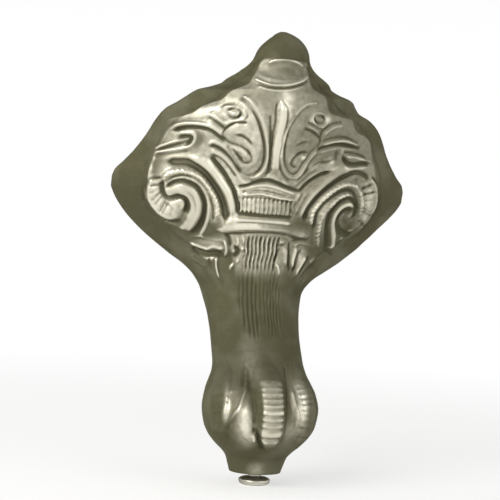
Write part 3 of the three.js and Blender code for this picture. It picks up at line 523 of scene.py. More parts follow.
carvingRules = {
    "bodyWidth": 5,          # wider strokes swell under the finer ones
    "ridgePower": 0.8,
    "groovePower": 1.0,
    "ropePitch": 2.3,        # mm along a rope for each strand, and how much the strands lean
    "ropeLean": 0.28,
    "striaWidth": 1.3,
    "dish": (0, 200.4, 12.4, 4.9, 1.9),      # centre x and z, half sizes, depth
    "reeds": (-13.9, 14.3, 131.9, 139.4, 2.17, 0.05),    # x from, x to, z from, z to, pitch, lean
    "legReeds": (-8.6, 8.2, 103.5, 121.5, 1.95, 0.1),
    "striae": [(-9.4, 101, 84, 0.55), (-7.6, 103, 76, 0.8), (-5.4, 103, 72, 0.9), (-3.2, 103, 71, 0.9),
               (-1.2, 99, 72, 0.8), (1, 104, 80, 0.45), (3.1, 104, 78, 0.5), (4.8, 104, 75, 0.7),
               (6.4, 104, 73, 0.8), (7.9, 104, 73, 0.8), (9.4, 103, 73, 0.7), (11, 102, 78, 0.45)],
    "toes": [(0, 13.8, 1), (42, 12.4, 0.85), (-58, 12.8, 0.65)],   # turn in degrees, width, height share
    "toeHighlight": [0.56, 0.2, 0],           # painted highlight on each toe's face
    "toeTop": 52.6,
    # heights of the dark lines between the rings
    "ringLines": [50.3, 48.7, 46.8, 44.5, 42.05, 39.8, 36.9, 34.3, 31.2, 27.1],
    "beads": (-7.1, 25.5, 48, 1.75, 1.15),     # x, z from, z to, spacing, radius
    "seed": 4,
    # half width of the panel painted lighter, partly a lighter finish and partly painted reflection, on
    # each side of the middle, against height
    "panelLeft": [(96, 20), (106, 27), (113, 33), (118, 36.5), (122, 39), (124.6, 43.9), (127.1, 50),
                  (129.8, 53.1), (132.4, 56.5), (135.8, 58.6), (139.2, 59.1), (143.4, 58.9), (148.9, 58.7),
                  (152.8, 58), (156.6, 56.9), (160.8, 56.5), (164.7, 55.8), (168.1, 54.4), (172.3, 52.8),
                  (175.1, 50.7), (176.2, 47.6), (177.3, 43.3), (178.7, 40.2), (181.2, 37.1), (183.3, 33.3),
                  (184.6, 28.9), (186.3, 26.8), (189, 24.4), (190.8, 20.9), (192.6, 17), (194, 15.4),
                  (197.2, 13.8), (200.1, 12), (203.5, 10.8), (206.5, 8.5), (212, 6), (219.6, 0.5)],
    "panelRight": [(96, 20), (106, 27), (112, 35), (116.1, 40.2), (120, 44.3), (122.7, 47), (125.1, 50.7),
                   (128.2, 54.5), (131.6, 57.3), (136.8, 58.8), (141.8, 59.2), (147.5, 58.4), (152.4, 56.5),
                   (158, 55.1), (161.8, 53.4), (167, 51.9), (171.1, 50.5), (172.9, 47.5), (174.4, 42.3),
                   (177.3, 39.8), (180.3, 39), (181.1, 30), (182, 25.8), (183.6, 24.4), (187, 23.6),
                   (189.7, 22.3), (191.2, 19.6), (192.9, 15.6), (195.1, 14), (198.6, 13.3), (203, 13),
                   (205.7, 12), (209, 7), (212, 6), (219.6, 0.5)],
    # painted highlights (positive amount) and painted shade (negative amount) on the patina: x, z, reach in
    # x and z, amount
    "paintedLightAndWear": [(-12.3, 32.8, 2.8, 6.5, 0.9), (-14, 37.9, 4, 9, 0.2), (-8.8, 125.2, 5.5, 2.2, 1.2),
               (-9.3, 129.1, 7, 1.6, 0.4), (-21.4, 124, 4, 3, -0.2), (11.4, 126.3, 6, 4, -0.06),
               (-10.4, 126.1, 4, 3, 0.3), (-31.5, 145.9, 3, 3, 0.3), (-26.8, 139.4, 2.5, 5, 0.3),
               (-48.5, 149.3, 5, 2.4, 0.25), (15.8, 178, 1.4, 1.8, 0.6), (23.9, 178.7, 1.4, 1.8, 0.6),
               (41.7, 132, 4, 5, 0.5), (19.4, 112.6, 3, 5, 0.3), (20.2, 156.2, 7, 2, 0.2),
               (18.5, 128.6, 7, 4, -0.25),
               (-14.2, 128.8, 5, 3, 0.4), (1.4, 175.1, 3, 15, 0.85), (1.3, 163.5, 3, 10, 0.6),
               (-2.1, 135.4, 13, 5, 0.3), (-2, 142.2, 14, 3, 0.5), (8.2, 188.2, 8, 6, 0.12),
               (-54.3, 135.5, 5, 9, 0.42), (-48.3, 130, 8, 3.5, 0.4), (54.2, 139.7, 3.6, 9, 0.45),
               (-13.3, 168.2, 8, 14, 0.35), (-30.5, 178.1, 9, 6, 0.25), (-22.2, 181.6, 6, 5, 0.2),
               (15.5, 41.8, 2.2, 8.5, 1.1), (13.6, 48.9, 1.6, 3, 0.6), (12.9, 38.3, 1.3, 7, 0.5),
               (-21.7, 145, 5, 12, 0.3), (41.4, 132.9, 5, 6, -0.45), (-7.1, 66.7, 4, 14, 0.12),
               (-7.6, 57.7, 5, 7, 0.15), (-2.3, 8.9, 3.4, 3.4, 0.4), (-45.8, 185.1, 9, 4, 0.14),
               (-62.4, 148.2, 6, 8, 0.05), (-55, 160.7, 4, 10, -0.45), (-54.3, 171.3, 4, 5, -0.4),
               (-48.7, 174.3, 6, 3, -0.3), (-57.5, 149.9, 4, 6, -0.35), (-44.3, 163, 7, 4, -0.15),
               (-38.2, 166, 3, 5, -0.3), (-32.6, 154.5, 5, 5, 0.45), (-23.5, 147.8, 4, 6, 0.4),
               (-17.8, 136.9, 2.5, 7, 0.45), (30.6, 165.5, 5, 3, 0.05), (-10.2, 186, 8, 5, -0.2),
               (-20.2, 187, 6, 4, -0.1), (43.8, 130.6, 5, 6.5, -0.2), (10.7, 29.5, 4, 5, 0.14),
               (1.9, 200.3, 4, 2.6, -0.25), (-45.8, 150.4, 4, 1.8, 0.5), (-36.2, 149, 4, 2.4, 0.5),
               (-28.1, 141.2, 2.4, 4, 0.5), (-24.5, 132.2, 1.8, 4, 0.5), (-40.1, 134.3, 5, 8, -0.28),
               (46.9, 162.1, 5, 7, -0.05), (-31, 124, 9, 6, -0.35),
               (-10.3, 188.3, 7, 4, -0.05), (7.2, 188.1, 7, 5, -0.1), (29.4, 133.7, 3, 9, 0.3),
               (23, 133.4, 3, 7, 0.2), (-19.9, 42.2, 1.1, 5, 0.9), (-20.8, 37.1, 1.1, 3.6, 0.9),
               (-17.2, 45.2, 3, 6, 0.12), (-22.8, 116, 9, 3, 0.5), (17.3, 111.5, 4, 6, 0.3),
               (22.2, 109.7, 3, 6, 0.3), (-34.2, 148.2, 7, 5, 0.2), (-25.4, 135.6, 2.4, 8, 0.35),
               (-26.6, 149.5, 4, 7, -0.12), (42, 131, 3, 3, 0.4), (1.3, 178.3, 2.5, 7, 0.25),
               (30.2, 159.3, 2, 1.6, 0.45), (29.7, 156.3, 4, 1.4, 0.35), (-10, 13.3, 3, 6, -0.04),
               (-10.6, 135.4, 5, 5, 0.25), (-8.9, 25.5, 3, 4.5, 0.4), (10.4, 43.8, 1.4, 8, 0.4),
               (9.7, 29.6, 5, 7, 0.15), (-6.7, 143.9, 9, 3, 0.35), (11.1, 109.2, 4, 7, 0.12)],
}
toeForm = {
    "height": 2.4,
    "rootFade": (64, 51),        # the toe sinks into the ball between these heights
    "topShare": 0.35,            # width left at the root, and the reach of that narrowing
    "topReach": 11,
    "slimShare": 0.09,           # how much narrower the toe gets below its top, and over what reach
    "slimReach": 22,
    "nailShares": (0.9, 0.04),   # width of the nail at its start and at its tip
    "nailLength": 8.4,
    "ringStrength": 1.15,
    "lineBow": 0.012,            # how much the lines between the rings bow
}
surfaceRules = {
    "ropeRough": 0.75,           # height of the chiselled roughness on the ropes and on the reeds
    "reedRough": 0.4,
    "boxHalf": 74.9,             # nothing goes wider than this
}

rowsAt = []
for start, end, spacing in castingForm["rowSpacing"]:
    count = max(1, round((end - start) / spacing))
    rowsAt.extend(np.linspace(start, end, count + 1)[:-1])
rowsAt = np.array(rowsAt + [castingForm["patternTop"]])
zRow = rowsAt[:, None]
columnShare = np.linspace(0, 1, castingForm["sideColumns"] + 1)[None, :]


def sideOf(sign):
    # x of the columns on one side; in the wing most of them lie on the carved panel
    half = halfWidth(zRow, sign)
    panel = panelWidth(zRow, half)
    onPanel, onRim = castingForm["panelColumns"], castingForm["rimColumns"]
    wingSide = np.where(columnShare <= onPanel, panel * columnShare / onPanel,
                        panel + (half - panel) * (columnShare - onPanel) / onRim)
    return sign * mix(half * np.sin(columnShare * math.pi / 2), wingSide, wingShare(zRow))


gridX = np.concatenate([sideOf(-1)[:, :0:-1], sideOf(1)], 1)
gridZ = np.repeat(zRow, gridX.shape[1], 1)
gridHalf = halfWidth(zRow, gridX)
base = surfacePoint(gridX, gridZ)
gridNormal = surfaceNormal(gridX, gridZ)


def emptyField():
    return np.zeros(gridX.shape)


def smoothLine(points, spacing=0.6):
    # Catmull-Rom curve through the points
    knots = np.array(points, float)
    knots = np.concatenate([2 * knots[:1] - knots[1:2], knots, 2 * knots[-1:] - knots[-2:-1]])
    line = []
    for before, start, end, after in zip(knots, knots[1:], knots[2:], knots[3:]):
        count = max(2, int(np.linalg.norm(end - start) / spacing) + 1)
        step = np.linspace(0, 1, count, endpoint=False)[:, None]
        line.append(0.5 * (2 * start + (end - before) * step
                           + (2 * before - 5 * start + 4 * end - after) * step ** 2
                           + (3 * start - before - 3 * end + after) * step ** 3))
    return np.concatenate(line + [knots[-2:-1]])


def strokeField(points, width):
    # for each grid point near the stroke: distance, length along it, distance to one side of it
    path = smoothLine(points)
    reach = width / 2 + 0.6
    near = ((gridX > path[:, 0].min() - reach) & (gridX < path[:, 0].max() + reach)
            & (gridZ > path[:, 1].min() - reach) & (gridZ < path[:, 1].max() + reach))
    spots = base[near]
    line = surfacePoint(path[:, 0], path[:, 1])
    lengths = np.concatenate([[0], np.cumsum(np.linalg.norm(np.diff(line, axis=0), axis=1))])
    best = np.full(len(spots), 1e9)
    along = np.zeros(len(spots))
    across = np.zeros(len(spots))
    for index in range(len(line) - 1):
        step = line[index + 1] - line[index]
        share = np.clip(((spots - line[index]) @ step) / max(step @ step, 1e-9), 0, 1)
        gap = spots - line[index] - share[:, None] * step
        distance = np.linalg.norm(gap, axis=1)
        closer = distance < best
        best[closer] = distance[closer]
        along[closer] = lengths[index] + share[closer] * (lengths[index + 1] - lengths[index])
        side = step[0] * gap[:, 2] - step[2] * gap[:, 0]
        across[closer] = (np.sign(side) * distance)[closer]
    return near, best, along, across, lengths[-1]


ridge, swell, groove = emptyField(), emptyField(), emptyField()
ropeMask, ropeTurn = emptyField(), emptyField()


def carve(width, height, points, rope=False):
    near, distance, along, across, length = strokeField(points, width)
    ends = np.minimum(along, length - along)
    taper = np.clip(0.4 + ends / (0.9 * width + 0.5), 0, 1)
    share = np.clip(distance / (width / 2 * taper), 0, 1)
    if height > 0:
        rise = height * taper * (1 - share * share) ** carvingRules["ridgePower"]
        field = swell if width >= carvingRules["bodyWidth"] else ridge
        field[near] = np.maximum(field[near], rise)
    else:
        drop = height * taper * (1 - share * share) ** carvingRules["groovePower"]
        groove[near] = np.minimum(groove[near], drop)
    if rope:
        twist = along / carvingRules["ropePitch"] + across * carvingRules["ropeLean"]
        ropeMask[near] = np.maximum(ropeMask[near], np.clip(1.3 * (1 - share * share), 0, 1))
        ropeTurn[near] = np.where(share < 1, twist, ropeTurn[near])


for group, strokes in carvingPlan.items():
    for width, height, points in strokes:
        carve(width, height, points, group == "rope")
for x, top, bottom, depth in carvingRules["striae"]:
    points = [(x + 0.25 * math.sin(0.5 * z + x), z) for z in np.linspace(top, bottom, 8)]
    carve(carvingRules["striaWidth"], -depth, points)
print("stage: strokes carved")

# dished button
dishX, dishZ, dishHalf, dishTall, dishDepth = carvingRules["dish"]
away = np.sqrt(((gridX - dishX) / dishHalf) ** 2 + ((gridZ - dishZ) / dishTall) ** 2)
dish = -dishDepth * np.clip(1 - away ** 2.4, 0, 1) ** 0.8

# toes: raised fingers with a nail; the rings themselves come from the node tree
toeRise, toePaintedHighlight = emptyField(), emptyField()
ringMask, ringTurn = emptyField(), emptyField()
around = np.arcsin(np.clip(gridX / halfWidth(gridZ, gridX), -1, 1))
ringLines = np.array(carvingRules["ringLines"][::-1])
nailTop, lastLine, toeTop = ringLines[0], ringLines[-1], carvingRules["toeTop"]
below = nailTop - gridZ
for (turn, width, part), bright in zip(carvingRules["toes"], carvingRules["toeHighlight"]):
    across = halfWidth(gridZ) * (around - math.radians(turn))
    root = mix(1, toeForm["topShare"], smooth(0, toeForm["topReach"], gridZ - toeTop))
    body = 1 - toeForm["slimShare"] * smooth(0, toeForm["slimReach"], toeTop - gridZ)
    nail = mix(*toeForm["nailShares"], np.clip(below / toeForm["nailLength"], 0, 1) ** 1.5)
    localWidth = width * np.where(gridZ > toeTop, root, body)
    localWidth = localWidth * np.where(below > 0, nail, 1)
    rise = toeForm["height"] * part * smooth(*toeForm["rootFade"], gridZ)
    rise = rise * (1 - (smooth(5.5, 8.6, below) if turn == 0 else smooth(-1, 6, below)))
    section = np.clip(1 - np.abs(2 * across / localWidth) ** 3.2, 0, 1) ** 0.7
    toeRise = np.maximum(toeRise, rise * section)
    ringed = (section > 0) & (gridZ < lastLine + 0.4) & (gridZ > nailTop - 0.6)
    # the left toe hardly shows its rings, the right one only on its inner side
    kept = 1
    if turn < -30:
        kept = 0.12
    elif turn > 30:
        kept = toeForm["ringStrength"] - smooth(0.8, 3.6, across)
    ringMask[ringed] = (np.clip(section * 1.6, 0, 1) * kept)[ringed]
    bowed = gridZ - toeForm["lineBow"] * across ** 2
    ringTurn[ringed] = np.interp(bowed, ringLines, np.arange(len(ringLines)))[ringed]
    # painted highlight on the toe's face
    shine = bright * smooth(0.6, 0.95, section) * smooth(51.6, 49.8, gridZ) * (1 - smooth(0.5, 4.5, below))
    toePaintedHighlight = np.maximum(toePaintedHighlight, shine)

# beads along the left side of the middle toe
random = np.random.default_rng(carvingRules["seed"])
beads = emptyField()
beadX, beadFrom, beadTo, beadSpacing, beadRadius = carvingRules["beads"]
for z in np.arange(beadFrom, beadTo, beadSpacing):
    x = beadX + random.uniform(-0.35, 0.35)
    gap = np.hypot(gridX - x, gridZ - z - random.uniform(-0.3, 0.3))
    beads = np.maximum(beads, random.uniform(0.9, 1.5) * np.clip(1 - (gap / beadRadius) ** 2, 0, 1))

# reeds: masks and turns for the node tree
reedMask, reedTurn = emptyField(), emptyField()
for key, fade in (("reeds", 0.5), ("legReeds", 1.6)):
    left, right, bottom, top, pitch, lean = carvingRules[key]
    leaned = gridX - lean * (gridZ - bottom) * smooth(-4, 10, gridX)
    mask = (smooth(left - 0.3, left + 0.4, leaned) * (1 - smooth(right - 0.4, right + 0.3, leaned))
            * smooth(bottom - 0.2, bottom + fade, gridZ) * (1 - smooth(top - fade, top + 0.2, gridZ)))
    reedTurn = np.where(mask > 0, (leaned - left) / pitch + 0.12 * np.sin(gridZ * 0.6), reedTurn)
    reedMask = np.maximum(reedMask, mask)


def blur(field):
    # in place, a light blur up and down and then across
    field[1:-1] = 0.25 * field[:-2] + 0.5 * field[1:-1] + 0.25 * field[2:]
    field[:, 1:-1] = 0.25 * field[:, :-2] + 0.5 * field[:, 1:-1] + 0.25 * field[:, 2:]


# rough chiselled surface of the ropes and the reeds
rough = random.normal(0, 1, gridX.shape)
blur(rough)
blur(rough)
relief = swell + ridge + groove + dish + toeRise + beads
relief += rough * (surfaceRules["ropeRough"] * ropeMask + surfaceRules["reedRough"] * reedMask)
# takes the stairs out of stroke edges
blur(relief)
edgeRoll = (castingForm["rimRoll"] * smooth(0.965, 1, np.abs(gridX) / gridHalf) ** 2
            * smooth(96, 110, gridZ))
front = np.stack([gridX, frontAt(gridX, gridZ), gridZ], -1) + gridNormal * relief[..., None]
front[..., 1] += edgeRoll
inBox = np.minimum(gridHalf, surfaceRules["boxHalf"])
front[..., 0] = np.clip(front[..., 0], -inBox, inBox)

backX = np.cos(np.linspace(0, math.pi, castingForm["backColumns"]))[None, :]
backX = backX * np.minimum(halfWidth(zRow, backX), surfaceRules["boxHalf"])
backZ = np.repeat(zRow, castingForm["backColumns"], 1)
back = np.stack([backX, backAt(backX, backZ), backZ], -1)
rings = np.concatenate([front, back], 1)
sunk = np.clip((-groove - 0.35) / 1.0, 0, 1)


def skinMesh(name, rings, scaled=True):
    # closed mesh over equal rings, with a fan on each end
    rows, columns = rings.shape[:2]
    points = np.concatenate([rings.reshape(-1, 3), rings[0].mean(0)[None], rings[-1].mean(0)[None]])
    row, column = np.meshgrid(np.arange(rows - 1), np.arange(columns), indexing="ij")
    beside = (column + 1) % columns
    quads = np.stack([row * columns + column, row * columns + beside,
                      (row + 1) * columns + beside, (row + 1) * columns + column], -1)
    quads = quads.reshape(-1, 4)
    ring = np.arange(columns)
    ahead = (ring + 1) % columns
    low = np.stack([np.full(columns, rows * columns), ahead, ring], -1)
    high = np.stack([np.full(columns, rows * columns + 1), (rows - 1) * columns + ring,
                     (rows - 1) * columns + ahead], -1)
    mesh = bpy.data.meshes.new(name)
    placed = toMetres(points) if scaled else points / 1000
    mesh.from_pydata(placed.tolist(), [], quads.tolist() + low.tolist() + high.tolist())
    mesh.update()
    centre = Vector(placed.mean(0))
    outward = sum((face.center - centre).dot(face.normal) * face.area for face in mesh.polygons)
    if outward < 0:
        mesh.flip_normals()
    solid = bpy.data.objects.new(name, mesh)
    scene.collection.objects.link(solid)
    return solid


def addAttribute(mesh, name, values):
    attribute = mesh.attributes.new(name, "FLOAT", "POINT")
    attribute.data.foreach_set("value", np.ascontiguousarray(values, dtype=np.float32).ravel())


def ringAttribute(field):
    whole = np.concatenate([field, np.zeros((field.shape[0], castingForm["backColumns"]))], 1)
    return np.concatenate([whole.ravel(), [0, 0]])


def readAll(items, label, width, kind=np.float32):
    # one property of every item, a row for each
    values = np.empty(len(items) * width, dtype=kind)
    items.foreach_get(label, values)
    return values.reshape(-1, width)


def evaluated(solid):
    # plain mesh of an object with its modifiers applied
    graph = bpy.context.evaluated_depsgraph_get()
    return bpy.data.meshes.new_from_object(solid.evaluated_get(graph), depsgraph=graph)


def mathsNode(nodes, links, operation, *values):
    node = nodes.new("ShaderNodeMath")
    node.operation = operation
    for socket, value in zip(node.inputs, values):
        if isinstance(value, (int, float)):
            socket.default_value = value
        else:
            links.new(value, socket)
    return node.outputs[0]


# waveMiddle: where on the wave, from 0 to 1, the surface stays as it was
repeatForm = {"noiseScale": 350, "waveMiddle": 0.85}


def repeatTree(name, channels, material):
    # Moves the surface along its normal in a repeated wave. Each channel has a mask and a turn attribute.
    tree = bpy.data.node_groups.new(name, "GeometryNodeTree")
    tree.is_modifier = True
    tree.interface.new_socket(name="Geometry", in_out="INPUT", socket_type="NodeSocketGeometry")
    tree.interface.new_socket(name="Geometry", in_out="OUTPUT", socket_type="NodeSocketGeometry")
    labels = [f"{channel} {label}" for channel in channels for label in ("height", "power")]
    for label in ["Unevenness", "Seed"] + labels:
        tree.interface.new_socket(name=label, in_out="INPUT", socket_type="NodeSocketFloat")
    nodes, links = tree.nodes, tree.links
    entry, leave = nodes.new("NodeGroupInput"), nodes.new("NodeGroupOutput")

    def maths(operation, *values):
        return mathsNode(nodes, links, operation, *values)

    def attribute(label):
        node = nodes.new("GeometryNodeInputNamedAttribute")
        node.data_type = "FLOAT"
        node.inputs["Name"].default_value = label
        return node.outputs["Attribute"]

    noise = nodes.new("ShaderNodeTexNoise")
    noise.noise_dimensions = "4D"
    noise.inputs["Scale"].default_value = repeatForm["noiseScale"]
    links.new(entry.outputs["Seed"], noise.inputs["W"])
    uneven = maths("MULTIPLY", maths("SUBTRACT", noise.outputs[0], 0.5), entry.outputs["Unevenness"])
    total = None
    for channel in channels:
        wave = maths("ABSOLUTE", maths("SINE", maths("MULTIPLY", attribute(f"{channel}Turn"), math.pi)))
        wave = maths("POWER", wave, entry.outputs[f"{channel} power"])
        rise = maths("MULTIPLY", maths("SUBTRACT", wave, repeatForm["waveMiddle"]),
                     entry.outputs[f"{channel} height"])
        rise = maths("MULTIPLY", rise, attribute(f"{channel}Mask"))
        rise = maths("MULTIPLY", rise, maths("ADD", uneven, 1))
        total = rise if total is None else maths("ADD", total, rise)
    facing, scaled = nodes.new("GeometryNodeInputNormal"), nodes.new("ShaderNodeVectorMath")
    scaled.operation = "SCALE"
    links.new(facing.outputs[0], scaled.inputs[0])
    links.new(total, scaled.inputs["Scale"])
    place, realize = nodes.new("GeometryNodeSetPosition"), nodes.new("GeometryNodeRealizeInstances")
    finish = nodes.new("GeometryNodeSetMaterial")
    finish.inputs["Material"].default_value = material
    links.new(entry.outputs["Geometry"], place.inputs["Geometry"])
    links.new(scaled.outputs[0], place.inputs["Offset"])
    links.new(place.outputs[0], realize.inputs[0])
    links.new(realize.outputs[0], finish.inputs["Geometry"])
    links.new(finish.outputs[0], leave.inputs[0])
    return tree


def applyRepeat(solid, tree, values):
    modifier = solid.modifiers.new("repeat", "NODES")
    modifier.node_group = tree
    sockets = {item.name: item.identifier for item in tree.interface.items_tree if item.in_out == "INPUT"}
    for label, value in values.items():
        modifier[sockets[label]] = float(value)
    mesh = evaluated(solid)
    solid.modifiers.remove(modifier)
    solid.data = mesh


# Materials
nickelLook = {
    "bright": (0.84, 0.805, 0.66),
    "dark": (0.145, 0.137, 0.080),
    # darker colour for the hollows
    "hollowDark": (0.120, 0.114, 0.068),
    "roughness": (0.68, 0.34),     # in the dark patina, and where painted light and wear make it bright
    "metallic": (0.42, 0.86),
    "edgeTint": (0.26, 0.25, 0.205),
    "edgeLevel": 0.12,
    "mottleScale": 55,
    "mottleShade": 0.06,           # how far the patches and the fine grain change the shade
    "grainScale": 420,
    "grainShade": 0.22,
    "grainDepth": 0.12,
    "brushScale": 900,
    "brushStretch": (1, 1, 0.06),
    "brushDepth": 0.05,
}
noiseMiddle = (0.3, 0.7)           # the part of a noise that a ramp spreads out


def shaderMaterial(name):
    material = bpy.data.materials.new(name)
    material.use_nodes = True
    return material, material.node_tree.nodes, material.node_tree.links


def metalMaterial(name, look, withPatinaAndLight=True):
    material, nodes, links = shaderMaterial(name)
    surface = nodes["Principled BSDF"]
    surface.inputs["Specular Tint"].default_value = (*look["edgeTint"], 1)
    surface.inputs["Specular IOR Level"].default_value = look["edgeLevel"]
    place = nodes.new("ShaderNodeTexCoord")

    def maths(operation, *values):
        return mathsNode(nodes, links, operation, *values)

    def noise(scale, stretch=(1, 1, 1), detail=4.0):
        mapping, node = nodes.new("ShaderNodeMapping"), nodes.new("ShaderNodeTexNoise")
        mapping.inputs["Scale"].default_value = stretch
        node.inputs["Scale"].default_value = scale
        node.inputs["Detail"].default_value = detail
        links.new(place.outputs["Object"], mapping.inputs["Vector"])
        links.new(mapping.outputs[0], node.inputs["Vector"])
        return node.outputs["Fac"]

    def ramp(source, fromMin, fromMax, toMin, toMax):
        node = nodes.new("ShaderNodeMapRange")
        node.interpolation_type = "SMOOTHSTEP"
        for label, value in (("From Min", fromMin), ("From Max", fromMax), ("To Min", toMin),
                             ("To Max", toMax)):
            node.inputs[label].default_value = value
        links.new(source, node.inputs["Value"])
        return node.outputs["Result"]

    def blend(first, second, share):
        node = nodes.new("ShaderNodeMix")
        node.data_type = "RGBA"
        for label, value in (("A", first), ("B", second)):
            socket = [entry for entry in node.inputs if entry.name == label and entry.type == "RGBA"][0]
            if isinstance(value, tuple):
                socket.default_value = (*value, 1)
            else:
                links.new(value, socket)
        factor = [entry for entry in node.inputs if entry.name == "Factor" and entry.type == "VALUE"][0]
        links.new(share, factor)
        return [entry for entry in node.outputs if entry.type == "RGBA"][0]

    def attribute(label):
        node = nodes.new("ShaderNodeAttribute")
        node.attribute_name = label
        return node.outputs["Fac"]

    def bump(height, strength, distance):
        node = nodes.new("ShaderNodeBump")
        node.inputs["Strength"].default_value = strength
        node.inputs["Distance"].default_value = distance
        links.new(height, node.inputs["Height"])
        return node

    mottle = noise(look["mottleScale"])
    fine = noise(look["grainScale"], detail=6.0)
    brush = noise(look["brushScale"], look["brushStretch"], 2.0)
    if withPatinaAndLight:
        # the patina attribute carries painted light and shade as well as the patina; hollows darken, raised
        # ridges get a painted highlight
        patinaAndPaintedLight, cavity = attribute("patinaAndPaintedLight"), attribute("cavity")
        patches = ramp(mottle, *noiseMiddle, -look["mottleShade"], look["mottleShade"])
        grain = maths("MULTIPLY", patinaAndPaintedLight, ramp(fine, *noiseMiddle, -look["grainShade"], look["grainShade"]))
        spread = maths("ADD", maths("ADD", patches, grain), patinaAndPaintedLight)
        colour = blend(look["dark"], look["bright"], spread)
        # hollows are darkened toward the darker hollow colour
        hollowed = ramp(maths("MULTIPLY", cavity, -1), 0.14, 0.95, 0, 0.9)
        colour = blend(colour, look["hollowDark"], hollowed)
        # painted highlight on raised ridges, partly wear
        ridgeHighlightAndWear = ramp(cavity, 0.10, 0.6, 0, 0.75)
        colour = blend(colour, look["bright"], ridgeHighlightAndWear)
        # where painted light, patina and wear make it bright, the surface is more metallic and smoother
        paintedLightAndWear = maths("MAXIMUM", spread, ridgeHighlightAndWear)
        links.new(ramp(paintedLightAndWear, 0, 1, *look["metallic"]), surface.inputs["Metallic"])
        dullness = ramp(paintedLightAndWear, 0, 1, *look["roughness"])
    else:
        dullness = look["roughness"][1]
        surface.inputs["Metallic"].default_value = look["metallic"][1]
        colour = blend(look["dark"], look["bright"], ramp(mottle, 0.35, 0.62, 0.35, 1))
    links.new(colour, surface.inputs["Base Color"])
    links.new(maths("ADD", ramp(fine, *noiseMiddle, -0.05, 0.07), dullness), surface.inputs["Roughness"])
    brushed, grained = bump(brush, look["brushDepth"], 0.0004), bump(fine, look["grainDepth"], 0.0006)
    links.new(brushed.outputs[0], grained.inputs["Normal"])
    links.new(grained.outputs[0], surface.inputs["Normal"])
    return material


nickel = metalMaterial("brushedNickel", nickelLook)
screwLook = dict(nickelLook, bright=(0.62, 0.6, 0.52), dark=(0.34, 0.32, 0.26), roughness=(0.4, 0.3))
screwMetal = metalMaterial("screwSteel", screwLook, withPatinaAndLight=False)

# Carved casting before the core is cut
carved = skinMesh("carvedSkin", rings)
for label, field in (("RingsMask", ringMask), ("RingsTurn", ringTurn), ("ReedsMask", reedMask),
                     ("ReedsTurn", reedTurn), ("RopeMask", ropeMask), ("RopeTurn", ropeTurn),
                     ("toePaintedHighlight", toePaintedHighlight), ("sunk", sunk)):
    addAttribute(carved.data, label, ringAttribute(field))
carvedWaves = {
    "Rings height": 0.0013, "Rings power": 0.45,
    "Reeds height": 0.0016, "Reeds power": 1.1,
    "Rope height": 0.0005, "Rope power": 1.0,
    "Unevenness": 1.2, "Seed": 2,
}
applyRepeat(carved, repeatTree("repeatedCarving", ["Rings", "Reeds", "Rope"], nickel), carvedWaves)
print("stage: rings, reeds and rope raised,", len(carved.data.polygons), "faces")

# Inner hollow, as in the CAD
coreForm = {
    "radius": 9.5,
    "floor": 27.0,
    "centre": 0.0,
    "opens": (48, 63),       # from a round core to the wide hollow, between these heights
    "leaves": (56, 65),      # and out through the back
    "frontPoints": 25,
    "backPoints": 12,
    "beyond": 12,            # how far past the rim the open part is cut
    "rows": [27.1, 28, 30, 33, 37] + list(np.arange(42, 205, 3.2)) + [207],
}
wall = castingForm["wall"]
wallSteps = [-1, -0.7, -0.35, 0, 0.35, 0.7, 1]


def innerHalf(z, x):
    # half width inside the wall, on the side of x
    return min(float(halfWidth(z + step * wall, x)) - wall * math.sqrt(1 - step * step)
               for step in wallSteps)


def innerFront(x, z):
    # inner face of the front: the reach of a ball of the wall's size rolled along the outer face
    deepest = np.full(x.shape, -1e9)
    for sideStep in wallSteps:
        for upStep in wallSteps:
            rest = 1 - sideStep * sideStep - upStep * upStep
            if rest < -0.001:
                continue
            besideX, aboveZ = x + sideStep * wall, z + upStep * wall
            inside = np.abs(besideX) <= halfWidth(aboveZ, besideX)
            depth = frontAt(np.where(inside, besideX, 0), aboveZ) + wall * math.sqrt(max(rest, 0))
            deepest = np.where(inside, np.maximum(deepest, depth), deepest)
    return deepest


def hollowRing(z):
    opened, leaving = float(smooth(*coreForm["opens"], z)), float(smooth(*coreForm["leaves"], z))
    radius, centre = coreForm["radius"], coreForm["centre"]
    left, right = (mix(min(radius, innerHalf(z, x)), innerHalf(z, x), opened) for x in (-1, 1))
    taper = 1
    if z < coreForm["floor"] + radius:
        taper = math.sqrt(max(1 - ((coreForm["floor"] + radius - z) / radius) ** 2, 0.01))
    turn = np.linspace(0, math.pi, coreForm["frontPoints"])
    x = -np.cos(turn)
    x = x * np.where(x < 0, left, right)
    front = innerFront(x, np.full(x.shape, z))
    y = mix(np.maximum(centre - radius * np.sin(turn), front), front, opened)
    turn = np.linspace(0, math.pi, coreForm["backPoints"])[1:-1]
    backX = np.cos(turn)
    backX = backX * np.where(backX < 0, left, right)
    limit = backAt(backX, np.full(backX.shape, z)) - wall
    core = np.minimum(centre + radius * np.sin(turn), limit)
    backY = mix(core, np.full(backX.shape, float(rimDepth(z)) + coreForm["beyond"]), leaving)
    allX, allY = np.concatenate([x, backX]) * taper, np.concatenate([y, backY])
    return np.stack([allX, centre + (allY - centre) * taper, np.full(allX.shape, z)], -1)


core = skinMesh("coreCut", np.array([hollowRing(z) for z in coreForm["rows"]]))


def turnedRings(outline, count, centre=(0, 0, 0), sideways=False):
    # rings round the z axis, or round the y axis when sideways
    angle = np.linspace(0, 2 * math.pi, count, endpoint=False)
    rings = []
    for radius, along in outline:
        acrossX, acrossY, up = radius * np.cos(angle), radius * np.sin(angle), np.full(count, along)
        ring = np.stack([acrossX, up, -acrossY] if sideways else [acrossX, acrossY, up], -1)
        rings.append(ring + np.array(centre))
    return np.array(rings)


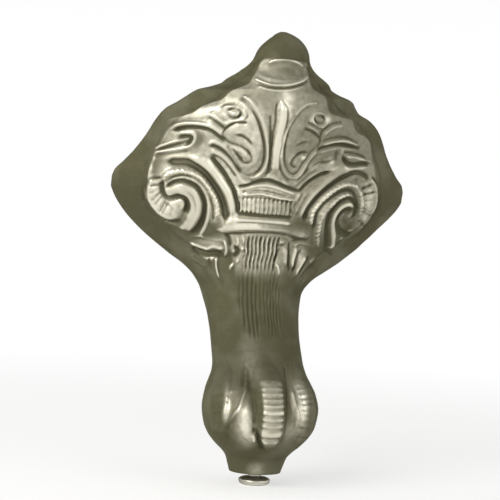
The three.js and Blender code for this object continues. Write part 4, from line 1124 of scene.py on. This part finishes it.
fixing = {
    "bossWidth": 26,
    "bossHeight": 20,
    "bossCentre": 168,
    "bossFace": 4,
    "corner": 4,
    "edgeInset": 0.97,       # the face is drawn in a little, which breaks its edge
    "hole": 8.5,
    "depth": 12,
    "screwHole": 7.0,
    "screwDepth": 40,
}
screwRadius, boltRadius = fixing["screwHole"] / 2, fixing["hole"] / 2
screwHole = turnedRings([(screwRadius, -5), (screwRadius, fixing["screwDepth"])], 64)
boltHole = turnedRings([(boltRadius, -fixing["depth"]), (boltRadius, 2)], 48,
                       (0, fixing["bossFace"], fixing["bossCentre"]), True)
holes = [skinMesh("screwHole", screwHole, False), skinMesh("boltHole", boltHole, False)]
corner = fixing["corner"]
outline = []
for quarter, (sideX, sideZ) in enumerate(((1, 1), (-1, 1), (-1, -1), (1, -1))):
    for step in range(9):
        angle = (quarter + step / 8) * math.pi / 2
        outline.append((sideX * (fixing["bossWidth"] / 2 - corner) + corner * math.cos(angle),
                        sideZ * (fixing["bossHeight"] / 2 - corner) + corner * math.sin(angle)))
outlineX, outlineZ = np.array(outline).T
outlineZ = fixing["bossCentre"] + outlineZ
inWall = frontAt(outlineX, drawnHeight(outlineZ)) + wall / 2
face = np.full(len(outline), float(fixing["bossFace"]))
bossRings = np.array([np.stack([outlineX, depth, outlineZ], -1) for depth in (inWall, face - 0.5, face)])
middle = bossRings[-1].mean(0)[[0, 2]]
bossRings[-1][:, [0, 2]] = middle + (bossRings[-1][:, [0, 2]] - middle) * fixing["edgeInset"]
boss = skinMesh("boss", bossRings, False)

for operand, operation in ((core, "DIFFERENCE"), (boss, "UNION"), (holes[0], "DIFFERENCE"),
                           (holes[1], "DIFFERENCE")):
    modifier = carved.modifiers.new(operation, "BOOLEAN")
    modifier.operation = operation
    modifier.solver = "MANIFOLD"
    modifier.object = operand
finished = evaluated(carved)
carved.modifiers.clear()
for solid in [core, boss, *holes, carved]:
    bpy.data.objects.remove(solid)
casting = bpy.data.objects.new("carvedCasting", finished)
scene.collection.objects.link(casting)
print("stage: core, boss and holes cut,", len(finished.polygons), "faces")

# Attributes for the finish: how hollow each spot is, and the patina with painted light and shade laid on it
finishAndLightRules = {
    "compared": 14,             # smoothing passes of the form that each spot is compared with
    "cavityRange": 0.6,         # mm of height that count as full wear
    "lowEdge": (104, 120),      # height of the lower edge of the panel painted lighter, in the middle and further out
    "topEdge": (204.8, 206),
    "shine": (0.235, 0.49),     # painted light: share of the lighter panel on the right and on the left, lighter on the left where the light falls
    "base": 0.02,
    "insideShine": 0.05,
    "mostShine": 1.15,
    "grooveShade": 0.6,         # how much a cut groove keeps its patina, and how far it counts as hollow
    "grooveCavity": 0.26,
    "ridgeHighlightSides": (0.42, 0.9),        # painted highlight on the ridges, partly wear, on the right and on the left
}
count = len(finished.vertices)
points = readAll(finished.vertices, "co", 3).astype(float) * 1000
normals = readAll(finished.vertices, "normal", 3)
edges = readAll(finished.edges, "vertices", 2, np.int32)
degree = np.bincount(edges.ravel(), minlength=count)


def smoothed(field, passes):
    # each point takes the mean of the points next to it
    for _ in range(passes):
        total = np.zeros_like(field)
        for column in range(field.shape[1]):
            total[:, column] = (np.bincount(edges[:, 0], field[edges[:, 1], column], count)
                                + np.bincount(edges[:, 1], field[edges[:, 0], column], count))
        field = total / degree[:, None]
    return field


cavity = np.sum((points - smoothed(points, finishAndLightRules["compared"])) * normals, axis=1, keepdims=True)
cavity = smoothed(cavity, 1)[:, 0]
x, z = points[:, 0], drawnHeight(points[:, 2])
away = np.abs(x)
halfHere = halfWidth(z, x)
depthIn = points[:, 1] - frontAt(np.clip(x, -halfHere, halfHere), z)
outside = 1 - smooth(1.4, 2.6, depthIn) * smooth(60, 66, z)
# the panel is painted lighter than the rim, partly a lighter finish and partly painted reflection, and
# lighter on the left, where the light falls
panelHere = np.where(x < 0, profile(carvingRules["panelLeft"])(z), profile(carvingRules["panelRight"])(z))
onPanel = smooth(-0.5, 0.5, panelHere - away) * (1 - smooth(*finishAndLightRules["topEdge"], z))
lowEdge = mix(*finishAndLightRules["lowEdge"], smooth(11, 17, away))
patinaAndPaintedLight = onPanel * smooth(-5, 5, z - lowEdge)
patinaAndPaintedLight *= mix(*finishAndLightRules["shine"], 1 - smooth(-30, 32, x))
# painted shade on the panel's lower sides
patinaAndPaintedLight *= 1 - 0.6 * smooth(18, 26, away) * (1 - smooth(124, 134, z))
toeShine, inGroove = (readAll(finished.attributes[label].data, "value", 1)[:, 0].astype(float)
                      for label in ("toePaintedHighlight", "sunk"))
# painted highlight on the toe faces, stronger on the left
patinaAndPaintedLight += toeShine * (1 - smooth(-7, 8, x) * 0.55) + finishAndLightRules["base"]
# ridges on the panel and on the toe faces get a painted highlight
ridgeHighlightMask = np.maximum(onPanel * (z > 96), toeShine > 0.3)
facing = smooth(-0.2, 0.2, -normals[:, 1])
# painted highlights and painted shade, spot by spot, on the patina
for spotX, spotZ, reachX, reachZ, amount in carvingRules["paintedLightAndWear"]:
    spot = facing * np.exp(-((x - spotX) / reachX) ** 2 - ((z - spotZ) / reachZ) ** 2)
    patinaAndPaintedLight += amount * spot * np.where(z > 108, onPanel, 1)
    ridgeHighlightMask = np.maximum(ridgeHighlightMask, spot * (amount > 0) * (z < 60) * (z > 14))
patinaAndPaintedLight = np.clip(patinaAndPaintedLight, 0, finishAndLightRules["mostShine"]) * (1 - finishAndLightRules["grooveShade"] * inGroove)
patinaAndPaintedLight = patinaAndPaintedLight * outside + finishAndLightRules["insideShine"] * (1 - outside)
# the ridges' painted highlight is strongest on the left and in the middle, least on the right, as the light
# falls
ridgeHighlightMask = ridgeHighlightMask * mix(*finishAndLightRules["ridgeHighlightSides"], 1 - smooth(-20, 35, x))
# raised spots keep their height only where the ridges get a painted highlight
cavity = np.where(cavity > 0, cavity * ridgeHighlightMask, cavity)
cavity = np.clip(cavity / finishAndLightRules["cavityRange"], -1.5, 1.5)
cavity = (cavity - finishAndLightRules["grooveCavity"] * inGroove) * outside
addAttribute(finished, "patinaAndPaintedLight", patinaAndPaintedLight)
addAttribute(finished, "cavity", cavity)

# the pad and both bores keep their crisp edges, all else is smooth
x, y, z = (readAll(finished.polygons, "center", 3) * 1000).T
fromPad = z - fixing["bossCentre"]
behindWall = frontAt(np.clip(x, -20, 20), drawnHeight(z)) + wall
onPad = (np.abs(x) < fixing["bossWidth"] / 2 + 0.1) & (np.abs(fromPad) < fixing["bossHeight"] / 2 + 0.1)
onPad &= y > np.minimum(behindWall + 0.4, fixing["bossFace"] - 0.2)
inBore = np.hypot(x, fromPad) < boltRadius + 0.05
inBore &= y > fixing["bossFace"] - fixing["depth"] - 0.1
inBore |= (np.hypot(x, y) < screwRadius + 0.05) & (z < 30)
finished.polygons.foreach_set("use_smooth", ~(onPad | inBore))
finished.materials.clear()
finished.materials.append(nickel)
print("stage: finish attributes, cavity", cavity.min().round(2), cavity.max().round(2))

# Levelling screw: turned head and a shank whose thread the same kind of node tree presses in
screwForm = {
    "head": 15.6,
    "shank": 6.4,
    "length": 34,
    "pitch": 1.0,
    "columns": 96,
    "rounded": 1.3,          # height of the rounded underside
    "band": 0.9,             # then of the nearly upright side
    "shoulder": (2.2, 1.7),  # where the domed top starts, and its height
    "neck": 4.3,
    "rowSpacing": 0.14,
}
screwWaves = {"Thread height": 0.0005, "Thread power": 0.8, "Unevenness": 0.05, "Seed": 1}
headRadius, shank = screwForm["head"] / 2, screwForm["shank"] / 2
rounded, (shoulder, domed), length = screwForm["rounded"], screwForm["shoulder"], screwForm["length"]
outline = [(0.3, 0.25), (1.6, 0.25), (1.9, 0)]
outline += [(headRadius * 0.66 + headRadius * 0.3 * math.sin(turn), rounded - rounded * math.cos(turn))
            for turn in np.linspace(0, math.pi / 2, 9)]
outline += [(headRadius * (0.96 + 0.04 * math.sin(turn)),
             rounded + screwForm["band"] * turn / (math.pi / 2)) for turn in np.linspace(0.2, 1.57, 5)]
outline += [(shank + 0.5 + (headRadius - shank - 0.5) * math.cos(turn), shoulder + domed * math.sin(turn))
            for turn in np.linspace(0.15, math.pi / 2, 10)]
outline += [(shank, screwForm["neck"])]
outline += [(shank, z) for z in np.arange(4.45, length - 1, screwForm["rowSpacing"])]
outline += [(shank - 0.1, length - 0.7), (shank - 0.8, length)]
screwRings = turnedRings(outline, screwForm["columns"])
screw = skinMesh("screwTurned", screwRings, False)
heights = screwRings[..., 2]
angle = np.arctan2(screwRings[..., 1], screwRings[..., 0])
threadMask = smooth(4.6, 5.4, heights) * (1 - smooth(length - 1.6, length - 0.9, heights))
threadTurn = heights / screwForm["pitch"] - angle / (2 * math.pi) + 50
for label, field in (("ThreadMask", threadMask), ("ThreadTurn", threadTurn)):
    addAttribute(screw.data, label, np.concatenate([field.ravel(), [0, 0]]))
applyRepeat(screw, repeatTree("screwThread", ["Thread"], screwMetal), screwWaves)
screw.name = "threadedScrew"
screw.data.polygons.foreach_set("use_smooth", [True] * len(screw.data.polygons))
screw.data.materials.clear()
screw.data.materials.append(screwMetal)
print("stage: screw threaded,", len(screw.data.polygons), "faces")

for piece, body, slot, node in ((casting, "foot", "casting", "foot_casting"),
                                (screw, "leveller", "screw", "levelling_screw")):
    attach(piece, body)
    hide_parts(node)

# Stage: pale floor, pale world, soft lamps and the camera of the photograph
stageLook = {
    "floor": (0.80, 0.80, 0.79),
    "floorGlow": 0.50,
    "floorFade": (0.1, 0.9),
    "floorReach": 4,
    "floorDrop": 0.0002,
    "world": (1.0, 1.0, 1.0),
    "worldFade": (0.12, 0.75),
    "ceiling": 0.30,
    "ambient": 0.35,
    "lampTarget": (0, -0.01, 0.13),
    "lampSize": 1.1,
    "keyPower": 11.0,
    "keyColour": (1, 0.985, 0.95),
    "fillPower": 2.5,
    "fillColour": (1, 1, 1),
}
reach, drop = stageLook["floorReach"], stageLook["floorDrop"]
floorMesh = bpy.data.meshes.new("floor")
floorMesh.from_pydata([(-reach, -reach, -drop), (reach, -reach, -drop), (reach, reach, -drop),
                       (-reach, reach, -drop)], [], [(0, 1, 2, 3)])
floor = bpy.data.objects.new("floor", floorMesh)
scene.collection.objects.link(floor)
floorMaterial, nodes, links = shaderMaterial("paleFloor")
near, output = nodes["Principled BSDF"], nodes["Material Output"]
near.inputs["Base Color"].default_value = (*stageLook["floor"], 1)
near.inputs["Roughness"].default_value = 0.9
near.inputs["Specular IOR Level"].default_value = 0.1


def seenRays(nodes, links):
    # 1 for camera, glossy and transmission rays
    path = nodes.new("ShaderNodeLightPath")
    seen = mathsNode(nodes, links, "ADD", path.outputs["Is Camera Ray"], path.outputs["Is Glossy Ray"])
    seen = mathsNode(nodes, links, "ADD", seen, path.outputs["Is Transmission Ray"])
    seen.node.use_clamp = True
    return seen


seen = seenRays(nodes, links)
glow, add, far, blendFar = (nodes.new(kind) for kind in (
    "ShaderNodeEmission", "ShaderNodeAddShader", "ShaderNodeEmission", "ShaderNodeMixShader"))
links.new(mathsNode(nodes, links, "MULTIPLY", seen, stageLook["floorGlow"]), glow.inputs["Strength"])
links.new(near.outputs[0], add.inputs[0])
links.new(glow.outputs[0], add.inputs[1])
# far from the object the floor runs into the white background
place, radius, fade = (nodes.new(kind) for kind in (
    "ShaderNodeTexCoord", "ShaderNodeVectorMath", "ShaderNodeMapRange"))
radius.operation = "LENGTH"
fade.interpolation_type = "SMOOTHSTEP"
fade.inputs["From Min"].default_value, fade.inputs["From Max"].default_value = stageLook["floorFade"]
links.new(place.outputs["Object"], radius.inputs[0])
links.new(radius.outputs["Value"], fade.inputs["Value"])
links.new(mathsNode(nodes, links, "MULTIPLY", fade.outputs["Result"], seen), blendFar.inputs["Fac"])
links.new(add.outputs[0], blendFar.inputs[1])
links.new(far.outputs[0], blendFar.inputs[2])
links.new(blendFar.outputs[0], output.inputs["Surface"])
floorMesh.materials.append(floorMaterial)

world = bpy.data.worlds.new("studio")
scene.world = world
world.use_nodes = True
nodes, links = world.node_tree.nodes, world.node_tree.links
background = nodes["Background"]
place, split = nodes.new("ShaderNodeTexCoord"), nodes.new("ShaderNodeSeparateXYZ")
links.new(place.outputs["Generated"], split.inputs[0])
fall = nodes.new("ShaderNodeMapRange")
fall.interpolation_type = "SMOOTHSTEP"
fall.inputs["From Min"].default_value, fall.inputs["From Max"].default_value = stageLook["worldFade"]
fall.inputs["To Min"].default_value, fall.inputs["To Max"].default_value = 1.0, stageLook["ceiling"]
links.new(split.outputs["Z"], fall.inputs["Value"])
level = nodes.new("ShaderNodeMix")
level.data_type = "FLOAT"
level.inputs[2].default_value = stageLook["ambient"]
links.new(seenRays(nodes, links), level.inputs[0])
links.new(fall.outputs["Result"], level.inputs[3])
background.inputs["Color"].default_value = (*stageLook["world"], 1)
links.new(level.outputs[0], background.inputs["Strength"])


def softLamp(name, place, power, colour):
    data = bpy.data.lights.new(name, "AREA")
    data.shape, data.size, data.energy, data.color = "DISK", stageLook["lampSize"], power, colour
    lamp = bpy.data.objects.new(name, data)
    lamp.location = place
    toTarget = Vector(stageLook["lampTarget"]) - Vector(place)
    lamp.rotation_euler = toTarget.to_track_quat("-Z", "Y").to_euler()
    scene.collection.objects.link(lamp)


softLamp("keyLamp", (-1.0, -0.85, 0.62), stageLook["keyPower"], stageLook["keyColour"])
softLamp("fillLamp", (0.9, -0.9, 0.45), stageLook["fillPower"], stageLook["fillColour"])

cameraPlan = {
    "turn": 12,
    "distance": 0.730,
    "aim": (-0.00773, 0.00164, 0.1144),
    "lens": 107.27,
    "sensor": 36,
    "roll": 3.0,
}
turn = math.radians(cameraPlan["turn"])
aim = Vector(cameraPlan["aim"])
data = bpy.data.cameras.new("photoCamera")
data.lens, data.sensor_width, data.clip_start = cameraPlan["lens"], cameraPlan["sensor"], 0.05
camera = bpy.data.objects.new("photoCamera", data)
camera.location = aim - cameraPlan["distance"] * Vector((math.sin(turn), math.cos(turn), 0))
camera.rotation_euler = (aim - camera.location).to_track_quat("-Z", "Y").to_euler()
camera.rotation_euler.rotate_axis("Z", math.radians(cameraPlan["roll"]))
scene.collection.objects.link(camera)
scene.camera = camera
print("stage: lamps and camera set")
